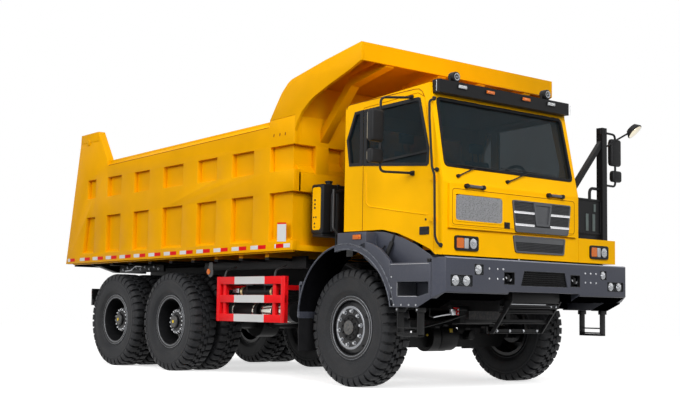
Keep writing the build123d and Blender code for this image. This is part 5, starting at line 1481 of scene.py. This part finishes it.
guard = {"x": (-0.184, 1.32), "out": -1.49, "deep": 0.04, "bars": (0.712, 0.96, 1.2), "tall": 0.1,
         "post": 0.082}
x0, x1 = guard["x"]
parts = []
for z in guard["bars"]:
    parts.append(block(x0, x1, guard["out"], guard["out"] + guard["deep"], z, z + guard["tall"], 0.004))
for a, b in ((x0, x0 + guard["post"]), (x1 - guard["post"], x1)):
    parts.append(block(a, b, guard["out"] - 0.0005, guard["out"] + 0.06, 0.711, 1.301, 0.005))
for a in (-0.066, 1.04):
    parts += [block(a, a + 0.066, guard["out"] + 0.022, guard["out"] + 0.08, 0.72, 1.295, 0.004),
              block(a + 0.008, a + 0.058, guard["out"] + 0.07, -0.455, 1.13, 1.19, 0.004)]
done(bothSides(parts), "guard_frames", "chassis", redPaint, 30, ["side_guards"])
parts = [block(0.227, 0.892, guard["out"] - 0.002, guard["out"] + 0.002, z + 0.001, z + guard["tall"] - 0.001,
               0.001, 1) for z in guard["bars"]]
done(bothSides(parts), "guard_tape", "chassis", tapeWhite)
parts = []
for x in (-0.06, 1.046):
    parts.append(tube([(x + 0.03, -1.465, 1.298), (x + 0.04, -1.452, 1.38), (x + 0.06, -1.3, 1.44)], 0.013,
                      0.03, 8))
done(bothSides(parts), "guard_stays", "chassis", hubGrey)

# polished sleeves and bands on the air reservoirs, and the filter above them
parts = []
for y in (-1.18, -0.88):
    for a, b in ((0.585, 0.8), (0.84, 1.06)):
        parts.append(bar((a, y, 0.85), (b, y, 0.85), 0.1325, 40, 0.006))
    for a in (-0.08, 0.38):
        parts.append(bar((a, y, 0.85), (a + 0.03, y, 0.85), 0.1335, 40, 0.003))
done(parts, "reservoir_sleeves", "chassis", polishedSteel, 40)
parts = [bar((0.15, -1.3, 1.105), (0.9, -1.3, 1.105), 0.062, 28, 0.01),
         block(0.3, 0.34, -1.36, -1.24, 1.03, 1.19, 0.004), block(0.7, 0.74, -1.36, -1.24, 1.03, 1.19, 0.004),
         block(0.31, 0.33, -1.3, -0.455, 1.15, 1.185, 0.003),
         block(0.71, 0.73, -1.3, -0.455, 1.15, 1.185, 0.003),
         tube([(0.9, -1.3, 1.105), (1.02, -1.3, 1.1), (1.06, -1.25, 1.0), (1.06, -1.18, 0.975)], 0.013, 0.04,
              8), tube([(0.06, -1.3, 1.11), (-0.1, -1.3, 1.12), (-0.14, -1.1, 1.18), (-0.14, -0.46, 1.18)],
                       0.013, 0.04, 8)]
done(parts, "line_filter", "chassis", blackPlastic, 40)
parts = [ring((0.205, -1.3, 1.105), "x", 0.067, 0.055, 0.045, 28),
         ring((0.86, -1.3, 1.105), "x", 0.067, 0.055, 0.035, 28)]
done(parts, "filter_rings", "chassis", brassRing, 40)
parts = [block(0.0, 0.14, -1.36, -1.24, 1.085, 1.15, 0.008, 3),
         bar((0.14, -1.3, 1.115), (0.168, -1.3, 1.112), 0.03, 18, 0.004)]
parts += boltsAt([(0.03, -1.361, 1.118), (0.11, -1.361, 1.118)], (0, -1, 0), 0.009)
parts += [bar((0.985, -1.362, 1.045), (0.985, -1.34, 1.045), 0.02, 16, 0.004)]
done(parts, "valve_block", "chassis", brushedSteel)

# reflector bracket ahead of the middle wheels
parts = [plate(arcPoints((-0.335, 1.36), 0.062, 180, 360, 12) + [(-0.285, 1.5), (-0.37, 1.5)], "y", -1.5,
               -1.492, 0.002)]
done(bothSides(parts), "reflector_plates", "chassis", hubGrey)
parts = [bar((-0.375, -1.5, 1.375), (-0.375, -1.508, 1.375), 0.04, 24, 0.003)]
done(bothSides(parts), "side_reflectors", "chassis", lampAmber)

# engine sump and crossmembers that close the view under the cab
parts = [block(2.02, 3.3, -0.3, 0.3, 0.745, 1.0, 0.03, 3),
         block(2.15, 2.45, -0.24, 0.24, 0.64, 0.76, 0.03, 3)]
done(parts, "engine_sump", "chassis", blackPaint)
parts = []
for x in (0.45, 1.55, 3.4, 3.82):
    parts.append(block(x, x + 0.06, -0.362, 0.362, 0.96, 1.18, 0.008))
done(parts, "cross_members", "chassis", blackPaint)

# drive housing cover on the front axle with its tag, and the trailer valve ahead of it
parts = [bar((2.62, -0.17, 0.575), (2.62, 0.13, 0.575), 0.168, 40, 0.02),
         bar((2.62, -0.185, 0.575), (2.62, 0.145, 0.575), 0.12, 32, 0.01)]
parts += boltsAt([(2.62 + 0.145 * math.cos(a), -0.1705, 0.575 + 0.145 * math.sin(a))
                  for a in [math.radians(15 + 30 * k) for k in range(12)]], (0, -1, 0), 0.008)
parts.append(bar((2.77, 0.376, 0.6), (2.66, 0.376, 0.6), 0.06, 28, 0.008))
done(parts, "drive_cover", "chassis", blackPaint)
parts = [block(2.762, 2.778, -0.036, 0.02, 0.632, 0.682, 0.003),
         bar((2.775, -0.412, 0.603), (2.755, -0.412, 0.603), 0.014, 14, 0.002)]
done(parts, "axle_tags", "chassis", tapeYellow)
done([block(3.47, 3.53, -0.7, -0.648, 0.85, 0.938, 0.006)], "valve_red", "chassis", redPaint)
parts = [block(3.475, 3.525, -0.762, -0.7, 0.85, 0.92, 0.006),
         tube([(3.5, -0.76, 0.866), (3.5, -0.9, 0.85), (3.5, -1.045, 0.828)], 0.012)]
parts += boltsAt([(3.531, -0.674, 0.872), (3.531, -0.674, 0.915)], (1, 0, 0), 0.008)
done(parts, "valve_body", "chassis", brushedSteel)
parts = [block(3.44, 3.48, -0.74, -0.455, 0.905, 0.96, 0.005),
         tube([(3.5, -1.045, 0.828), (3.48, -1.08, 0.84), (3.47, -1.06, 0.96)], 0.01)]
done(parts, "valve_bracket", "chassis", blackPaint)

# painted shade: dark sheets behind the bumper's mesh and over the gap under the cab
parts = [block(4.1, 4.106, -0.52, 0.56, 1.13, 1.44), block(3.965, 4.08, -1.3, 1.3, 1.474, 1.488, 0.003),
         block(3.9, 3.93, -1.3, -0.47, 1.02, 1.47, 0.004), block(3.9, 3.93, 0.47, 1.3, 1.02, 1.47, 0.004),
         block(2.3, 3.96, -1.4, 1.3, 1.484, 1.49)]
done(parts, "front_shade_sheets", "chassis", deepBlack)

# guard panel beside the cab: frame, strips and its foot
parts = [block(3.975, 3.995, 0.89, 1.35, 1.702, 1.852, 0.003)]
for z in (1.862, 2.272):
    parts.append(block(4.004, 4.014, 0.892, 1.35, z, z + 0.018, 0.003))
for y in (0.892, 1.332):
    parts.append(block(4.004, 4.014, y, y + 0.018, 1.862, 2.29, 0.003))
done(parts, "panel_frame", "chassis", blackPaint)
parts = [block(4.0045, 4.007, y, y + 0.052, 1.9, 2.11, 0.002, 1) for y in (1.06, 1.19)]
parts.append(block(4.0045, 4.006, 1.215, 1.255, 2.14, 2.235, 0.002, 1))
done(parts, "panel_strips", "chassis", greyStrip)

# gussets and a bolted rail under the body's rear, above the wheels, black as painted shade under the body
parts = [plate([(-1.6, 1.545), (-1.15, 1.41), (-0.62, 1.41), (-0.62, 1.545)], "x", -3.64, -3.5, 0.004),
         block(-3.3, -2.0, -1.22, -1.18, 1.405, 1.545, 0.004),
         block(-0.9, 1.4, -1.22, -1.18, 1.405, 1.56, 0.004)]
done(bothSides(parts), "body_gussets", "bed", blackPaint)
places = [(-3.18 + 0.13 * k, -1.221, 1.45 + 0.03 * (k % 2)) for k in range(9)]
parts = boltsAt(places, (0, -1, 0),
                0.014) + [tube([(-3.1, -1.235, 1.43), (-2.9, -1.24, 1.44), (-2.8, -1.235, 1.5),
                                (-2.6, -1.235, 1.49)], 0.008, 0.03)]
done(bothSides(parts), "gusset_bolts", "bed", brushedSteel)

# lines and hoses along the frame
parts = []
for y, z in ((-0.47, 1.15), (-0.474, 1.11), (-0.47, 1.07)):
    parts.append(tube([(3.6, y, z), (2.3, y - 0.01, z + 0.01), (0.6, y, z), (-2.2, y, z - 0.01)], 0.009, 0.05,
                      6))
parts = bothSides(parts)
parts.append(tube([(3.48, -0.5, 0.86), (3.42, -0.7, 0.79), (3.0, -0.72, 0.7), (2.66, -0.7, 0.64)], 0.011,
                  0.06, 8))
done(parts, "brake_lines", "chassis", blackPlastic)
print("guards done")

# seats and dial rings

pad = {"voxel": 0.012, "pressure": 4.0, "frames": 20, "cap": 0.022}


def softPad(x0, x1, y0, y1, z0, z1, corner):
    # a smaller block blown up by cloth pressure, its points held within a cap
    start = block(x0, x1, y0, y1, z0, z1, corner, 4)
    mod = start.modifiers.new("grid", "REMESH")
    mod.mode = "VOXEL"
    mod.voxel_size = pad["voxel"]
    applied(start, mod)
    before = [vertex.co.copy() for vertex in start.data.vertices]
    cloth = start.modifiers.new("air", "CLOTH")
    cloth.settings.use_pressure = True
    cloth.settings.uniform_pressure_force = pad["pressure"]
    cloth.settings.effector_weights.gravity = 0
    scene = bpy.context.scene
    for number in range(1, pad["frames"] + 1):
        scene.frame_set(number)
    bpy.context.view_layer.objects.active = start
    start.select_set(True)
    bpy.ops.object.modifier_apply(modifier=cloth.name)
    scene.frame_set(1)
    for vertex, old in zip(start.data.vertices, before):
        move = vertex.co - old
        if move.length > pad["cap"]:
            vertex.co = old + move.normalized() * pad["cap"]
    return start


def sewn(obj, axis, lines, depth, width):
    # presses seams into a pad along lines across the given axis
    for vertex in obj.data.vertices:
        for line in lines:
            away = (vertex.co[axis] - line) / width
            fall = depth * math.exp(-away * away)
            vertex.co.x -= 0 if axis == 0 else fall * 0.5 * (1 if vertex.co.x > obj["centre"][0] else -1)
            vertex.co.z -= fall * (1 if vertex.co.z > obj["centre"][2] else -1) * (0.6 if axis == 1 else 0.0)
            if axis == 2:
                vertex.co.x -= fall * 0.4 * (1 if vertex.co.x > obj["centre"][0] else -1)
    return obj


def buildSeat(y):
    cushion = softPad(2.97, 3.41, y - 0.225, y + 0.225, 2.1, 2.196, 0.03)
    back = softPad(2.945, 3.02, y - 0.215, y + 0.215, 2.25, 2.78, 0.03)
    for vertex in back.data.vertices:
        vertex.co.x -= 0.1 * (vertex.co.z - 2.22) - 0.02 * abs(vertex.co.y - y) / 0.215
    head = softPad(2.9, 2.96, y - 0.115, y + 0.115, 2.86, 2.985, 0.024)
    for obj, lines in ((cushion, (y - 0.135, y + 0.135)), (back, (y - 0.13, y + 0.13))):
        obj["centre"] = [3.19 if obj is cushion else 2.95, y, 2.15 if obj is cushion else 2.5]
        sewn(obj, 1, lines, 0.01, 0.01)
    pads = [cushion, back, head]
    for obj in pads:
        mod = obj.modifiers.new("soft", "SUBSURF")
        mod.levels = 1
        mod.render_levels = 1
        applied(obj, mod)
    return joined(pads)


def placedPads(obj, name, replaces=()):
    piece = done([obj], name, "chassis", seatCloth, 60, replaces)
    return piece


rightPadsY, leftPadsY = -0.95, 0.25
rightPads = buildSeat(rightPadsY)
leftPads = copyOf(rightPads, move=(0, leftPadsY - rightPadsY, 0))
placedPads(rightPads, "seat_pads_right", ["seats"])
placedPads(leftPads, "seat_pads_left")
parts = []
for y in (rightPadsY, leftPadsY):
    parts.append(block(3.0, 3.38, y - 0.18, y + 0.18, 1.836, 1.866, 0.006))
    for k in range(5):
        parts.append(block(3.03 + 0.004 * (k % 2), 3.35 - 0.004 * (k % 2), y - 0.15, y + 0.15,
                           1.866 + k * 0.04, 1.898 + k * 0.04, 0.01, 3))
    parts += [block(2.975, 3.4, y - 0.21, y + 0.21, 2.062, 2.1, 0.01, 3),
              block(2.925, 2.95, y - 0.17, y + 0.17, 2.08, 2.7, 0.008, 2)]
    parts += [bar((2.925, y + off, 2.76), (2.918, y + off, 2.9), 0.008, 10) for off in (-0.05, 0.05)]
done(parts, "seat_frames", "chassis", blackPlastic)

# dial rings behind the glass
parts = []
for y in (0.13, 0.3):
    parts.append(ring((3.712, y, 2.395), "x", 0.055, 0.047, 0.012, 28))
done(parts, "dial_rings", "chassis", chromeSteel, 40)
print("seats done")

# room, light and camera

stage = {"size": 60.0, "keyPower": 1650.0, "sidePower": 980.0, "topPower": 520.0, "sky": 0.34, "bounce": 0.04,
         "glow": 0.64}
clearAll()
bpy.ops.mesh.primitive_plane_add(size=stage["size"], location=(0, 0, 0))
floor = bpy.context.object
floor.name = "floor"
white = (1, 1, 1, 1)


def seenDirectly(tree):
    # 1 for what the lens sees, also by way of gloss or glass
    path = tree.nodes.new("ShaderNodeLightPath")
    seen = mathNode(tree, "MAXIMUM", path.outputs["Is Camera Ray"], path.outputs["Is Glossy Ray"])
    return mathNode(tree, "MAXIMUM", seen, path.outputs["Is Transmission Ray"])


floorMaterial = bpy.data.materials.new("floor")
floorMaterial.use_nodes = True
tree = floorMaterial.node_tree
bounce = stage["bounce"]
setInputs(tree.nodes["Principled BSDF"], {
    "Base Color": mixColour(tree, seenDirectly(tree), (bounce, bounce, bounce, 1), white),
    "Emission Strength": mathNode(tree, "MULTIPLY", seenDirectly(tree), stage["glow"]),
    "Emission Color": white, "Roughness": 1.0, "Specular IOR Level": 0.0})
floor.data.materials.append(floorMaterial)

world = bpy.data.worlds.new("studio")
bpy.context.scene.world = world
world.use_nodes = True
tree = world.node_tree
sky = setInputs(tree.nodes["Background"], {"Strength": stage["sky"], "Color": white})
backdrop = setInputs(tree.nodes.new("ShaderNodeBackground"), {"Strength": 1.0, "Color": white})
mix = setInputs(tree.nodes.new("ShaderNodeMixShader"),
                {0: seenDirectly(tree), 1: sky.outputs[0], 2: backdrop.outputs[0]})
setInputs(tree.nodes["World Output"], {"Surface": mix.outputs[0]})


def areaLamp(name, place, target, size, power):
    lamp = bpy.data.lights.new(name, "AREA")
    lamp.size = size
    lamp.energy = power
    obj = linked(bpy.data.objects.new(name, lamp))
    obj.location = place
    obj.rotation_euler = (Vector(target) - Vector(place)).to_track_quat("-Z", "Y").to_euler()


areaLamp("keyLamp", (13, -6, 8), (1.5, 0, 1.6), 8, stage["keyPower"])
areaLamp("sideLamp", (-1, -14, 7), (0, 0, 1.6), 8, stage["sidePower"])
areaLamp("topLamp", (0, -2, 14), (0, 0, 1.6), 9, stage["topPower"])

lens = {"place": (12.8285, -10.3044, 0.9103), "pitch": 0.0932, "yaw": 2.4436, "roll": 0.0165, "length": 61.14}
camera = bpy.data.cameras.new("camera")
camera.lens = lens["length"]
camera.sensor_width = 36.0
camera.shift_x = 0.0036
camera.clip_end = 200
cameraObject = linked(bpy.data.objects.new("camera", camera))
forward = Vector((math.cos(lens["pitch"]) * math.cos(lens["yaw"]),
                  math.cos(lens["pitch"]) * math.sin(lens["yaw"]), math.sin(lens["pitch"])))
right = forward.cross(Vector((0, 0, 1))).normalized()
up = right.cross(forward)
turnedRight = right * math.cos(lens["roll"]) + up * math.sin(lens["roll"])
turnedUp = up * math.cos(lens["roll"]) - right * math.sin(lens["roll"])
axes = Matrix((turnedRight, turnedUp, -forward)).transposed().to_4x4()
cameraObject.matrix_world = Matrix.Translation(lens["place"]) @ axes
bpy.context.scene.camera = cameraObject
bpy.context.scene.view_settings.view_transform = "Standard"
